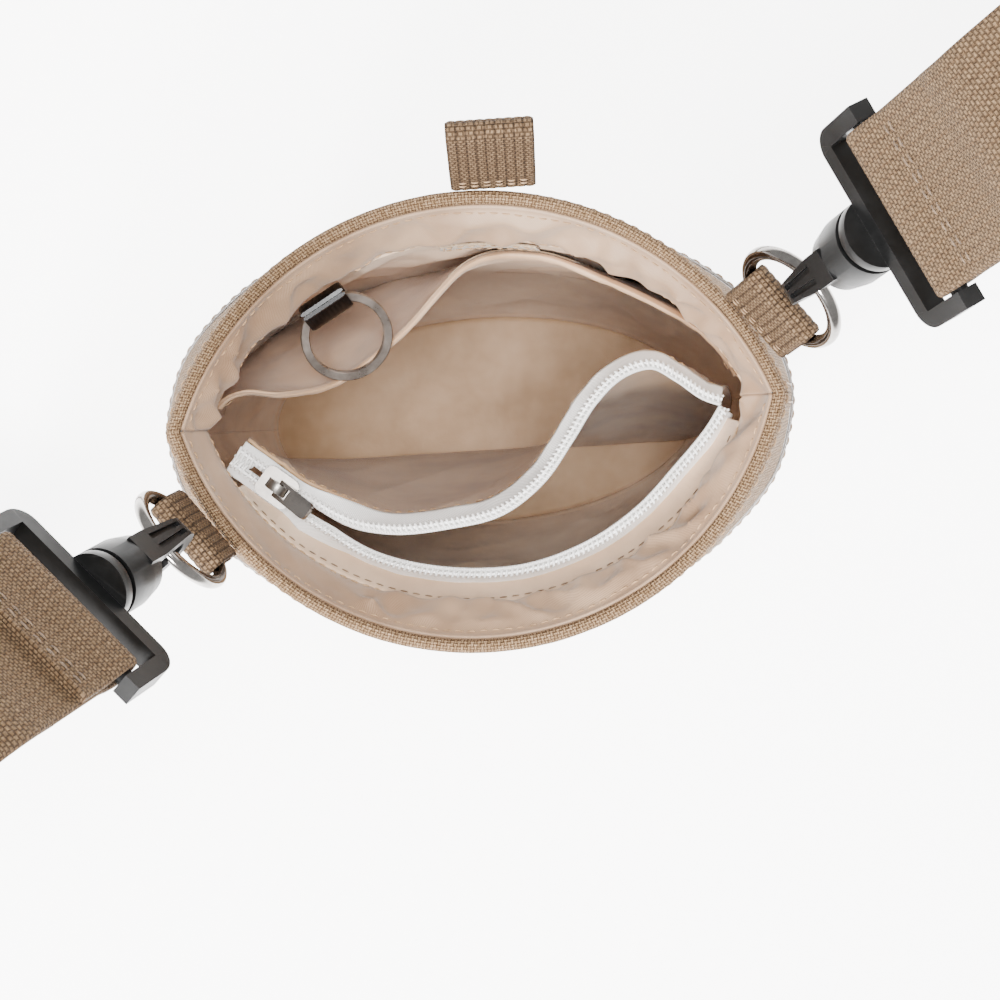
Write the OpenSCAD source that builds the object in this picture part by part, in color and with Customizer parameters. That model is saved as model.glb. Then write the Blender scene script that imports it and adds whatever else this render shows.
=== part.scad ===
// Soft treat pouch on a shoulder strap. An open lens-shaped mouth held by two
// hinged spring strips, a lined body with a zip pocket, a slip pocket and a key
// ring, and two swivel snap hooks that carry a wide webbing strap.
// Millimetres. X runs from corner to corner of the mouth, Y towards the back, Z up.

/* [Body] */
// Height of the standing pouch, floor to rim
pouch_h = 165; // [130:1:200]
// Width of the open mouth, corner to corner
mouth_w = 146; // [130:1:165]
// How far the back of the rim stands behind the line of the corners
mouth_back = 52; // [44:1:58]
// How far the front of the rim stands before the line of the corners
mouth_front = 57; // [50:1:62]
// Width of the base, side to side
base_w = 140; // [120:1:150]
// How far the base reaches behind the line of the corners
base_back = 35; // [30:1:42]
// How far the base reaches before the line of the corners
base_front = 37; // [32:1:44]
// Swell of the sides past a straight wall
side_swell = 9.5; // [4:0.5:12]
// Swell of the front and back past a straight wall
face_swell = 5; // [2:0.5:7]
// Radius of the turn from wall to base
foot_r = 8; // [5:1:12]
// Thickness of the canvas
canvas_t = 1.6; // [1.2:0.1:2.2]
// Thickness of the lining
lining_t = 0.9; // [0.6:0.1:1.2]
// Depth of the channel band below the rim
band_h = 14; // [12:1:18]
// How far the bottom of the channel band leans into the mouth
band_lean = 6; // [3:0.5:8]
// Height of the reflective band
reflect_h = 16; // [10:1:22]
// Height of the middle of the reflective band above the floor
reflect_z = 112; // [90:1:125]

/* [Mouth springs] */
// Thickness of each spring steel strip
spring_t = 0.6; // [0.4:0.1:0.8]
// Height of each spring steel strip
spring_h = 8; // [6:0.5:9]
// Radius of the pins that join the strips at the corners
spring_pin_r = 0.8; // [0.6:0.1:1]

/* [Zip pocket] */
// Depth of the top of the zip below the mouth's edge
zip_drop = 18; // [15:1:30]
// Width of each zip tape
tape_w = 9; // [7:0.5:11]
// Radius of each nylon coil
coil_r = 1.15; // [1:0.05:1.3]
// Space between the coils where the zip is shut
coil_gap = 1.4; // [1.2:0.1:1.8]
// Length of the zip slider
slider_l = 9.5; // [8:0.5:12]
// Length of the slider's pull tab
pull_l = 11; // [9:0.5:16]

/* [Slip pocket and key holder] */
// Depth of the slip pocket's hem below the mouth's edge
slip_drop = 27; // [25:1:50]
// Length of the touch-and-close strips
grip_l = 27; // [20:1:40]
// Width of the key holder's band
key_band_w = 12; // [8:1:16]
// Mean radius of the key ring
key_ring_r = 10.4; // [9:0.2:12]

/* [Webbing] */
// Width of the side tabs and of the back loop
tab_w = 20; // [18:0.5:20]
// Thickness of the narrow webbing
tab_t = 1.5; // [1.2:0.1:1.6]
// Height that the back loop stands out from the rim
back_loop_l = 25; // [22:1:32]
// Width of the shoulder strap
strap_w = 38; // [34:0.5:40]
// Thickness of the shoulder strap
strap_t = 2.3; // [1.8:0.1:2.4]

/* [Rings and snap hooks] */
// Mean radius of the side rings
ring_r = 12.4; // [12.4:0.1:14]
// Radius of the side rings' wire
wire_r = 1.6; // [1.4:0.05:1.6]
// Half of the clear width inside the hook's jaw
jaw_r = 4.9; // [4.9:0.1:5.6]
// Length of the jaw from its rounded end to the collar
jaw_l = 16; // [15:0.5:20]
// Thickness of the hook's arm
arm_t = 3.1; // [2.8:0.1:3.6]
// Width of the hook's arm across the jaw
arm_w = 7.5; // [7:0.1:8]
// Width of the snap hook's arm at its tip
arm_tip_w = 5; // [4.5:0.1:6.5]
// Radius of the swivel stem
stem_r = 4; // [3.6:0.1:4.4]
// Radius of the gate's pin
gate_pin_r = 1; // [0.8:0.1:1.1]
// Running clearance of the stem and of the gate pin
run_gap = 0.06; // [0.03:0.01:0.1]
// Swing of the left tab above the level, at rest
left_rise = 80; // [70:1:82]
// Swing of the right tab above the level, at rest
right_rise = 68; // [60:1:72]
// Slope of both snap hooks above the level, at rest
hook_rise = 66; // [60:1:72]

/* [Hidden] */

BACK = 1;
FRONT = -1;
LEFT = -1;
RIGHT = 1;
columns = 24;
seam_gap = 0.3;
eps = 0.01;

canvas = [0.69, 0.60, 0.50];
taffeta = [0.80, 0.71, 0.62];
webbing = [0.63, 0.52, 0.42];
grey = [0.75, 0.73, 0.71];
steel = [0.62, 0.62, 0.63];
black = [0.08, 0.08, 0.08];
white = [0.94, 0.93, 0.92];

// ---------------------------------------------------------------- body form
half_mouth = mouth_w / 2;
half_base = base_w / 2;
belly_z = 0.66 * pouch_h;

// 0 at the top of the foot and 1 at the rim
function climb(z) = max(0, (z - foot_r) / (pouch_h - foot_r));
function swell(z) = 4 * climb(z) * (1 - climb(z));
function foot_inset(z) = z >= foot_r ? 0 : foot_r - sqrt(pow(foot_r, 2) - pow(foot_r - z, 2));
function mix(a, b, t) = a + (b - a) * t;
function ease(t) = let(u = min(1, max(0, t))) u * u * (3 - 2 * u);
function half_width(z) = mix(half_base, half_mouth, climb(z)) + side_swell * swell(z) - foot_inset(z);
function reach(side, z) =
    mix(side == BACK ? base_back : base_front, side == BACK ? mouth_back : mouth_front, climb(z))
    + face_swell * swell(z) - foot_inset(z);
// the mouth is two arcs that meet in a corner, and the belly below it is an oval
function roundness(z) = 1 - ease((z - belly_z) / (pouch_h - belly_z));
function arc_point(w, s, k) =
    let(r = (w * w + s * s) / (2 * s), h = 2 * atan(s / w), a = 90 - h + 2 * h * k)
    [r * cos(a), r * sin(a) - r + s];
function oval_point(w, s, k) = [w * cos(180 * k), s * sin(180 * k)];
// a point of the wall: k runs from the right corner to the left, off is the depth inside
function wall(side, k, z, off) =
    let(w = half_width(z) - off, s = reach(side, z) - off)
    let(p = mix(arc_point(w, s, k), oval_point(w, s, k), roundness(z)))
    [p.x, side * p.y, z];

// ---------------------------------------------------------------- solids from grids
// a closed solid between two grids of points that face each other
module slab(a, b, flip = false) {
    m = len(a);
    n = len(a[0]);
    at = function(g, i, j) (g * m + i) * n + j;
    skin = [for (i = [0:m - 2], j = [0:n - 2]) each [
        [at(0, i, j), at(0, i, j + 1), at(0, i + 1, j + 1)],
        [at(0, i, j), at(0, i + 1, j + 1), at(0, i + 1, j)],
        [at(1, i, j), at(1, i + 1, j + 1), at(1, i, j + 1)],
        [at(1, i, j), at(1, i + 1, j), at(1, i + 1, j + 1)]]];
    rows = [for (j = [0:n - 2]) each [
        [at(0, 0, j), at(1, 0, j), at(1, 0, j + 1)],
        [at(0, 0, j), at(1, 0, j + 1), at(0, 0, j + 1)],
        [at(0, m - 1, j), at(1, m - 1, j + 1), at(1, m - 1, j)],
        [at(0, m - 1, j), at(0, m - 1, j + 1), at(1, m - 1, j + 1)]]];
    ends = [for (i = [0:m - 2]) each [
        [at(0, i, 0), at(1, i + 1, 0), at(1, i, 0)],
        [at(0, i, 0), at(0, i + 1, 0), at(1, i + 1, 0)],
        [at(0, i, n - 1), at(1, i, n - 1), at(1, i + 1, n - 1)],
        [at(0, i, n - 1), at(1, i + 1, n - 1), at(0, i + 1, n - 1)]]];
    turn = function(f) flip ? [f[2], f[1], f[0]] : f;
    polyhedron([each each a, each each b], [for (f = concat(skin, rows, ends)) turn(f)]);
}

// a closed bar swept through a list of rings of points
module bar(rings) {
    m = len(rings);
    n = len(rings[0]);
    sides = [for (i = [0:m - 2], j = [0:n - 1]) each [
        [i * n + j, i * n + (j + 1) % n, (i + 1) * n + (j + 1) % n],
        [i * n + j, (i + 1) * n + (j + 1) % n, (i + 1) * n + j]]];
    caps = [[for (j = [n - 1:-1:0]) j], [for (j = [0:n - 1]) (m - 1) * n + j]];
    polyhedron([each each rings], concat(sides, caps));
}

// part of the wall between two depths, through a list of heights
module wall_slab(side, heights, outside, inside) {
    grid = function(off) [for (z = heights) [for (j = [0:columns]) wall(side, j / columns, z, off(z))]];
    slab(grid(outside), grid(inside), side == BACK);
}

// ---------------------------------------------------------------- outer body
rim_r = canvas_t;
panel_top = pouch_h - 2 * rim_r - seam_gap / 2;
wall_heights = [
    0, 0.15 * foot_r, 0.45 * foot_r, foot_r, 0.25 * pouch_h, 0.42 * pouch_h,
    belly_z, 0.8 * pouch_h, 0.9 * pouch_h, 0.95 * pouch_h, panel_top
];

module outer_panel(side) {
    color(canvas)
        wall_slab(side, wall_heights, function(z) 0, function(z) canvas_t);
}
module outer_front_panel() { outer_panel(FRONT); }
module outer_back_panel() { outer_panel(BACK); }

// the outline of a plate that lies inside the wall at one height
function plate(z, off) = [
    for (j = [0:columns]) let(p = wall(BACK, j / columns, z, off)) [p.x, p.y],
    for (j = [1:columns - 1]) let(p = wall(FRONT, 1 - j / columns, z, off)) [p.x, p.y]
];
module base_panel() {
    color(canvas)
        linear_extrude(canvas_t)
            polygon(plate(0, canvas_t + seam_gap / 2));
}

reflect_t = 0.8;
module reflective_band() {
    color(grey)
        for (side = [FRONT, BACK])
            wall_slab(side, [for (i = [0:2]) reflect_z + (i / 2 - 0.5) * reflect_h],
                function(z) -reflect_t - seam_gap / 3, function(z) -seam_gap / 3);
}

// the canvas rolled over the mouth's edge
rim_sides = 8;
module rim(side) {
    rings = [for (j = [0:columns]) [for (i = [0:rim_sides - 1])
        let(a = 360 * i / rim_sides)
        wall(side, j / columns, pouch_h - rim_r + rim_r * sin(a), rim_r + rim_r * cos(a))]];
    color(canvas)
        bar(side == BACK ? rings : [for (r = rings) [for (i = [rim_sides - 1:-1:0]) r[i]]]);
}
module rim_front() { rim(FRONT); }
module rim_back() { rim(BACK); }

// ---------------------------------------------------------------- channel and springs
band_top = pouch_h - rim_r;
band_bottom = band_top - band_h;
spring_in = canvas_t + seam_gap;
channel_in = 2 * rim_r + seam_gap;
// the band leans inward to its lower edge
channel_off = function(z) channel_in + band_lean * ease((band_top - z) / band_h);
module channel_band(side) {
    color(taffeta)
        wall_slab(side, [for (i = [0:4]) mix(band_bottom, band_top, i / 4)],
            channel_off, function(z) channel_off(z) + lining_t);
}
module channel_band_front() { channel_band(FRONT); }
module channel_band_back() { channel_band(BACK); }

spring_mid = panel_top - 2.5 - spring_h / 2;
knuckle_r = spring_pin_r + 0.6;
pin_x = half_width(spring_mid + spring_h / 2) - spring_in - 1.1 * knuckle_r;
strip_k = 0.024;
tongue_k = strip_k + 0.015;
tongue_t = 0.55 * spring_t;
function strip_mid(side, k) =
    let(p = wall(side, k, spring_mid, spring_in + 0.85 * spring_t)) [p.x - pin_x, p.y];

// a tongue of the strip rolled round the corner pin: the front has the upper half, the back the lower
module knuckle(side, end) {
    low = spring_mid + (side == FRONT ? seam_gap / 2 : seam_gap - spring_h / 2);
    tall = spring_h / 2 - 1.5 * seam_gap;
    far = strip_mid(side, tongue_k);
    tip = far * (spring_pin_r + 0.4) / norm(far);
    thick = [far.y, -far.x] / norm(far) * tongue_t / 2;
    translate([end * pin_x, 0, low]) {
        difference() {
            cylinder(r = knuckle_r, h = tall, $fn = 24);
            translate([0, 0, -eps])
                cylinder(r = spring_pin_r + run_gap, h = tall + 2 * eps, $fn = 24);
        }
        linear_extrude(tall)
            polygon([for (p = [tip - thick, far - thick, far + thick, tip + thick]) [end * p.x, p.y]]);
    }
}
module spring_strip(side) {
    k_at = function(j) mix(strip_k, 1 - strip_k, j / columns);
    grid = function(off) [for (i = [-1, 1]) [for (j = [0:columns])
        wall(side, k_at(j), spring_mid + i * spring_h / 2, off)]];
    color(steel) {
        slab(grid(spring_in), grid(spring_in + spring_t), side == BACK);
        for (end = [LEFT, RIGHT])
            knuckle(side, end);
    }
}
module spring_strip_front() { spring_strip(FRONT); }
module spring_strip_back() { spring_strip(BACK); }
module spring_pins() {
    color(steel)
        for (end = [LEFT, RIGHT])
            translate([end * pin_x, 0, spring_mid - spring_h / 2 - 0.6])
                cylinder(r = spring_pin_r, h = spring_h + 1.2, $fn = 24);
}

// ---------------------------------------------------------------- lining
lining_z = canvas_t + seam_gap;
lining_top = band_bottom - 0.2;
lining_in = canvas_t + seam_gap;
sag_z = 0.3 * pouch_h;
// the lining leaves the canvas half way up and meets the lower edge of the channel band
lining_off = function(z)
    mix(lining_in, channel_off(band_bottom), ease((z - sag_z) / (lining_top - sag_z)));
inside_off = function(z) lining_off(z) + lining_t;
lining_heights = [
    lining_z + lining_t + seam_gap, 0.6 * foot_r, foot_r, sag_z, 0.4 * pouch_h,
    0.5 * pouch_h, 0.7 * pouch_h, 0.82 * pouch_h, lining_top
];
module lining(side) {
    color(taffeta)
        wall_slab(side, lining_heights, lining_off, inside_off);
}
module lining_front() { lining(FRONT); }
module lining_back() { lining(BACK); }
module lining_floor() {
    color(taffeta)
        translate([0, 0, lining_z])
            linear_extrude(lining_t)
                polygon(plate(lining_z, canvas_t + seam_gap));
}

// ---------------------------------------------------------------- curves through points
// a smooth curve through a list of points, t from 0 to 1
function knot(p, i) = p[min(len(p) - 1, max(0, i))];
function curve(p, t) =
    let(s = t * (len(p) - 1), i = min(len(p) - 2, floor(s)), u = s - i)
    let(a = knot(p, i - 1), b = knot(p, i), c = knot(p, i + 1), d = knot(p, i + 2))
    0.5 * (2 * b + (c - a) * u + (2 * a - 5 * b + 4 * c - d) * pow(u, 2)
        + (3 * b - a - 3 * c + d) * pow(u, 3));
function unit(v) = v / norm(v);
function heading(p, t) = unit(curve(p, min(1, t + 0.004)) - curve(p, max(0, t - 0.004)));
// the normal on the left of a plan curve
function beside(p, t) = let(h = heading(p, t)) [-h.y, h.x];

// ---------------------------------------------------------------- zip pocket
// plan points as shares of the half width and the front depth of the mouth
function placed(shares) = [for (s = shares) [s.x * half_mouth, s.y * mouth_front]];
zip_z = pouch_h - zip_drop;
zip_start = [-0.82, -0.12];
zip_fork = [-0.62, -0.33];
zip_end = [0.84, -0.02];
// the back half of the open zip bows into the mouth, and the front half follows the wall
back_run = placed([
    zip_fork, [-0.47, -0.42], [-0.30, -0.47], [-0.12, -0.46], [0.05, -0.42],
    [0.19, -0.30], [0.29, -0.14], [0.38, 0.02], [0.48, 0.13], [0.59, 0.165],
    [0.68, 0.10], [0.76, 0.02], zip_end
]);
front_run = placed([
    zip_fork, [-0.53, -0.46], [-0.38, -0.59], [-0.20, -0.665], [0.00, -0.695],
    [0.18, -0.675], [0.37, -0.59], [0.53, -0.46], [0.66, -0.30], [0.77, -0.15], zip_end
]);
shut_a = placed([zip_start])[0];
shut_b = placed([zip_fork])[0];
shut_way = unit(shut_b - shut_a);
shut_side = [-shut_way.y, shut_way.x];
shut_l = norm(shut_b - shut_a);
coil_off = coil_gap / 2 + coil_r;
coil_rings = 46;
shut_rings = 6;

// how far along the open run a ring of the coil stands
function run_t(i) = mix(0.02, 0.97, (i - shut_rings) / (coil_rings - shut_rings));
function across(run, i) = i < shut_rings ? shut_side : beside(run, run_t(i));
// centre of a coil: side is 1 for the back half and -1 for the front half
function coil_spot(side, run, i) =
    let(shut = i < shut_rings, n = across(run, i))
    let(p = shut ? shut_a + shut_way * shut_l * i / shut_rings : curve(run, run_t(i)))
    let(q = p + n * side * coil_off * (shut ? 1 : 1 - ease(run_t(i) / 0.12))) [q.x, q.y, zip_z];
module zip_coil(side, run) {
    color(white)
        bar([for (i = [0:coil_rings]) let(c = coil_spot(side, run, i), n = across(run, i))
            [for (j = [0:5]) let(a = 60 * j)
                c + [n.x * coil_r * cos(a), n.y * coil_r * cos(a), coil_r * sin(a)]]]);
}
module zip_coil_front() { zip_coil(FRONT, front_run); }
module zip_coil_back() { zip_coil(BACK, back_run); }

// the tape lies flat under the shut coils and drops outward from the open ones
tape_t = 0.6;
tape_under = coil_r + 0.15;
tape_shut_w = 3.8;
function tape_open(i) = ease((i - shut_rings + 1) / 7);
function tape_tilt(i) = 60 * tape_open(i);
function tape_reach(i) = mix(tape_shut_w, tape_w, tape_open(i));
// u runs from the coil's inner edge to the sewn edge, down is the depth below the coil
function tape_spot(side, run, i, u, down) =
    let(c = coil_spot(side, run, i), n = across(run, i) * side, a = tape_tilt(i))
    let(s = mix(-coil_r, tape_reach(i) - coil_r, u), out = s * cos(a) - down * sin(a))
    [c.x + n.x * out, c.y + n.y * out, c.z - s * sin(a) - down * cos(a)];
module zip_tape(side, run) {
    grid = function(down) [for (u = [0, 0.5, 1])
        [for (i = [0:2:coil_rings]) tape_spot(side, run, i, u, down)]];
    color(white)
        slab(grid(tape_under), grid(tape_under + tape_t), side == FRONT);
}
module zip_tape_front() { zip_tape(FRONT, front_run); }
module zip_tape_back() { zip_tape(BACK, back_run); }

// the wall between the zip pocket and the mouth hangs from the back tape's sewn edge
divider_foot = lining_z + lining_t + seam_gap;
divider_y = -0.2 * mouth_front;
function divider_x(z) = half_width(z) - inside_off(z) - 0.5;
function divider_spot(i, u, lift) =
    let(e = tape_spot(BACK, back_run, i, 1, tape_under + tape_t), n = across(back_run, i))
    let(top = e.z - seam_gap, z = mix(divider_foot, top, u))
    let(share = (e.x + n.x * lift) / divider_x(top))
    [share * divider_x(z), mix(divider_y + lift, e.y + n.y * lift, ease(z / top)), z];
module zip_pocket_panel() {
    grid = function(lift) [for (u = [0:0.2:1])
        [for (i = [0:2:coil_rings]) divider_spot(i, u, lift)]];
    color([0.60, 0.50, 0.41])
        slab(grid(0), grid(lining_t), false);
}

// ---------------------------------------------------------------- zip slider and pull
slider_w = 2 * (coil_off + coil_r) + 2;
slider_t = 1;
slider_in = coil_r + 0.35;
slider_under = tape_under + tape_t + 0.35;
slider_back = 1.2;
bail_r = 1.9;
bail_t = 0.9;
bail_w = 2.4;
pull_w = 4.6;
pull_t = 1.2;
pull_lean = 28;
module at_slider() {
    translate([shut_b.x, shut_b.y, zip_z])
        rotate([0, 0, atan2(shut_way.y, shut_way.x)])
            translate([-slider_back - slider_l / 2, 0, 0])
                children();
}
module rounded_plate(l, w, t, r) {
    linear_extrude(t) {
        square([l, w - 2 * r], center = true);
        square([l - 2 * r, w], center = true);
        for (x = [-1, 1], y = [-1, 1])
            translate([x * (l / 2 - r), y * (w / 2 - r)])
                circle(r = r, $fn = 24);
    }
}
module zip_slider() {
    color(steel)
        at_slider() {
            translate([0, 0, slider_in])
                rounded_plate(slider_l, slider_w, slider_t, 2);
            translate([0, 0, -slider_under - slider_t])
                rounded_plate(slider_l, slider_w, slider_t, 2);
            translate([slider_l / 2 - 2, 0, -slider_under - slider_t / 2])
                linear_extrude(slider_under + slider_in + slider_t)
                    square([2.6, coil_gap - 0.3], center = true);
            // the bail that the pull tab hangs in
            translate([0, bail_w / 2, slider_in + slider_t - 0.2])
                rotate([90, 0, 0])
                    linear_extrude(bail_w)
                        difference() {
                            circle(r = bail_r + bail_t, $fn = 32);
                            circle(r = bail_r, $fn = 32);
                            translate([-10, -20])
                                square([20, 20]);
                        }
        }
}
pull_pin_r = 0.6;
// the bar across the bail's opening is the pull tab's own neck
module zip_pull() {
    color(steel)
        at_slider()
            translate([bail_r - pull_pin_r - 0.75, 0, slider_in + slider_t + pull_pin_r + 0.1])
                rotate([0, -pull_lean, 0]) {
                    rotate([90, 0, 0])
                        cylinder(r = pull_pin_r, h = pull_w, center = true, $fn = 20);
                    for (y = [-1, 1])
                        translate([0, y * (pull_w / 2 - 0.45), 0])
                            rotate([90, 0, 0])
                                linear_extrude(0.9, center = true)
                                    translate([0, -pull_pin_r])
                                        square([4.2, 2 * pull_pin_r]);
                    translate([3.4 + (pull_l - 3.4) / 2, 0, -pull_t / 2])
                        rounded_plate(pull_l - 3.4, pull_w, pull_t, 1.2);
                }
}

// ---------------------------------------------------------------- slip pocket
slip_z = pouch_h - slip_drop;
slip_foot = 0.36 * pouch_h;
slip_k = 0.035;
slip_in = 2 * seam_gap;
// how far the hem stands out from the lining, right to left, as shares of the back depth
hem_shares = [0, 0.02, 0.06, 0.06, 0.02, 0.07, 0.34, 0.46, 0.36, 0.15, 0];
function hem_depth(t) = mouth_back * curve(hem_shares, t);
// the hem sags where the pocket stands open
function hem_z(t) = slip_z - 0.3 * hem_depth(t);
function slip_spot(t, u, lift) =
    let(z = mix(slip_foot, hem_z(t), u))
    wall(BACK, mix(slip_k, 1 - slip_k, t), z, inside_off(z) + slip_in + lift)
        - [0, hem_depth(t) * ease(u), 0];
module slip_pocket_panel() {
    grid = function(lift) [for (u = [0:0.2:1]) [for (j = [0:columns]) slip_spot(j / columns, u, lift)]];
    color(taffeta)
        slab(grid(0), grid(lining_t), true);
}
// touch-and-close strips: one on the lining, one on the pocket's side that faces it
grip_t = 0.8;
grip_h = 9;
grip_x = 0.1 * half_mouth;
function grip_k(z) = acos(grip_x / half_width(z)) / 180;
function grip_half(z) = grip_l / 2 / (3.1 * half_width(z)) * 1.2;
module grip_strip_wall() {
    z0 = slip_z + 0.5;
    grid = function(off) [for (z = [z0, z0 + grip_h / 2, z0 + grip_h]) [for (j = [0:6])
        wall(BACK, grip_k(z) + (j / 3 - 1) * grip_half(z), z, inside_off(z) + off)]];
    color(canvas)
        slab(grid(0.25), grid(0.25 + grip_t), true);
}
module grip_strip_pocket() {
    mid = 0.44;
    half = 0.09 * grip_l / 27;
    tall = grip_h / (slip_z - slip_foot);
    grid = function(lift) [for (u = [0.99 - tall, 0.99]) [for (j = [0:12])
        slip_spot(mid + (j / 6 - 1) * half, u, lift)]];
    color(canvas)
        slab(grid(-0.25 - 0.5 * grip_t), grid(-0.25), true);
}

// ---------------------------------------------------------------- key holder
key_k = 0.735;
key_band_t = 1;
key_wire_w = 2.2;
key_wire_h = 1.8;
key_slope = 25;
// the ring bows away from its hinge line across the width of the band
key_bow = (key_ring_r - sqrt(pow(key_ring_r, 2) - pow(key_band_w / 2, 2))) / 2;
key_hole = key_bow + norm([key_wire_w, key_wire_h]) / 2 + 0.15;
key_drop = 8;
key_top = band_bottom - 0.5;
function key_spot() = wall(BACK, key_k, key_top, inside_off(lining_top) + key_hole + key_band_t + 0.4);
function key_way() =
    let(a = wall(BACK, key_k - 0.02, key_top, 12), b = wall(BACK, key_k + 0.02, key_top, 12))
    atan2(a.y - b.y, a.x - b.x);
// along the wall is X, into the mouth is -Y
module at_key() {
    translate(key_spot())
        rotate([0, 0, key_way()])
            children();
}
// a band folded round the ring, its two ends sewn under the lower edge of the channel band
module key_band() {
    color(black)
        at_key()
            translate([-key_band_w / 2, 0, 0])
                rotate([90, 0, 90])
                    linear_extrude(key_band_w)
                        difference() {
                            union() {
                                translate([0, -key_drop])
                                    circle(r = key_hole + key_band_t, $fn = 36);
                                translate([-key_hole - key_band_t, -key_drop])
                                    square([2 * (key_hole + key_band_t), 1.6]);
                                translate([-0.2, 0])
                                    polygon([
                                        [-key_hole - key_band_t + 0.2, -key_drop + 1.6],
                                        [key_hole + key_band_t + 0.2, -key_drop + 1.6],
                                        [key_band_t + 0.2, -1.5], [key_band_t + 0.2, 0],
                                        [-key_band_t + 0.2, 0], [-key_band_t + 0.2, -1.5]
                                    ]);
                            }
                            translate([0, -key_drop])
                                circle(r = key_hole, $fn = 36);
                        }
}
module key_ring() {
    color(steel)
        at_key()
            translate([0, 0, -key_drop])
                rotate([key_slope, 0, 0])
                    translate([0, key_bow - key_ring_r, 0])
                        rotate_extrude($fn = 96)
                            translate([key_ring_r - key_wire_w / 2, -key_wire_h / 2])
                                square([key_wire_w, key_wire_h]);
}

// ---------------------------------------------------------------- back loop
loop_x = 7.5;
loop_rise = 66;
loop_gap = 2.4;
function loop_k() = acos(loop_x / half_width(pouch_h) * 0.93) / 180;
function loop_root() = let(p = wall(BACK, loop_k(), pouch_h - rim_r, -tab_t - 0.4)) [loop_x, p.y, p.z];
module back_loop() {
    end_r = loop_gap / 2 + tab_t;
    color(webbing)
        translate(loop_root())
            rotate([0, 0, 90])
                rotate([0, -loop_rise, 0])
                    translate([0, tab_w / 2, 0])
                        rotate([90, 0, 0])
                            linear_extrude(tab_w)
                                difference() {
                                    union() {
                                        circle(r = tab_t, $fn = 32);
                                        polygon([
                                            [0, -tab_t], [6, -end_r], [back_loop_l - end_r, -end_r],
                                            [back_loop_l - end_r, end_r], [6, end_r], [0, tab_t]
                                        ]);
                                        translate([back_loop_l - end_r, 0])
                                            circle(r = end_r, $fn = 36);
                                    }
                                    translate([7, -loop_gap / 2])
                                        square([back_loop_l - end_r - 7, loop_gap]);
                                    translate([back_loop_l - end_r, 0])
                                        circle(r = loop_gap / 2, $fn = 36);
                                }
}

// ---------------------------------------------------------------- side fittings, placed
// [side of the rim, place along it, turn of the tab, turn of the hook, twist of the hook]
LEFT_SIDE = [FRONT, 0.88, 217, 211, 12];
RIGHT_SIDE = [BACK, 0.093, 38, 37, -12];
function rise(s) = s == LEFT_SIDE ? left_rise : right_rise;
function root(s) = wall(s[0], s[1], pouch_h - rim_r, -tab_t - 0.05 - 1.5 * seam_gap);
function aim(turn, up) = [cos(up) * cos(turn), cos(up) * sin(turn), sin(up)];
ring_hole = wire_r + 0.2;
tab_eye = 15.5;
tab_l = tab_eye + tab_t;
ring_at = tab_eye - 0.23 + sqrt(pow(ring_r - wire_r, 2) - pow(tab_w / 2, 2));
seat = ring_at + ring_r;
function hook_at(s) = root(s) + seat * aim(s[2], rise(s));
module at_tab(s) {
    translate(root(s))
        rotate([0, 0, s[2]])
            rotate([0, -rise(s), 0])
                children();
}
// X is the hook's shank, Z looks up out of its arm
module at_hook(s) {
    translate(hook_at(s))
        rotate([0, 0, s[3]])
            rotate([0, -hook_rise, 0])
                rotate([s[4], 0, 0])
                    children();
}
// a profile in X and Z made into a solid of a width about the middle
module across_y(w) {
    translate([0, w / 2, 0])
        rotate([90, 0, 0])
            linear_extrude(w)
                children();
}

module tab(s) {
    r = ring_hole + tab_t;
    root_t = tab_t + 0.05;
    color(webbing)
        at_tab(s)
            across_y(tab_w)
                difference() {
                    union() {
                        circle(r = root_t, $fn = 32);
                        polygon([
                            [0, -root_t], [3.4, -root_t], [5.4, -r], [tab_eye - ring_hole, -r],
                            [tab_eye - ring_hole, r], [5.4, r], [3.4, root_t], [0, root_t]
                        ]);
                        translate([tab_eye - ring_hole, 0])
                            circle(r = r, $fn = 40);
                    }
                    translate([5, -ring_hole])
                        square([tab_eye - ring_hole - 5, 2 * ring_hole]);
                    translate([tab_eye - ring_hole, 0])
                        circle(r = ring_hole, $fn = 40);
                }
}
module ring(s) {
    color(steel)
        at_tab(s)
            translate([ring_at, 0, 0])
                rotate_extrude($fn = 96)
                    translate([ring_r, 0])
                        circle(r = wire_r, $fn = 32);
}

// ---------------------------------------------------------------- swivel snap hook
jaw_x = 2.3;
jaw_out = jaw_r + arm_t;
collar_x = jaw_x + jaw_l - 4.8;
collar_r = 8;
barrel_x = collar_x + 5.5;
barrel_end = barrel_x + 7.6;
gate_x = collar_x + 4;
gate_z = -jaw_r - 0.7;
gate_eye = 2.1;
gate_w = 4.8;
gate_t = 2.4;
gate_tip = jaw_x + 0.9;
nose_x = jaw_x + 2.9;
gate_gap = 0.2;
pin_l = 2 * sqrt(pow(collar_r, 2) - pow(gate_z, 2)) - 0.6;
groove_w = 1.3;
head_r = stem_r + 1;
head_x = barrel_end - 5.4;
head_l = 1.9;
bore_x = barrel_end - 3.2;
cheek_y = 1.45;

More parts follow.
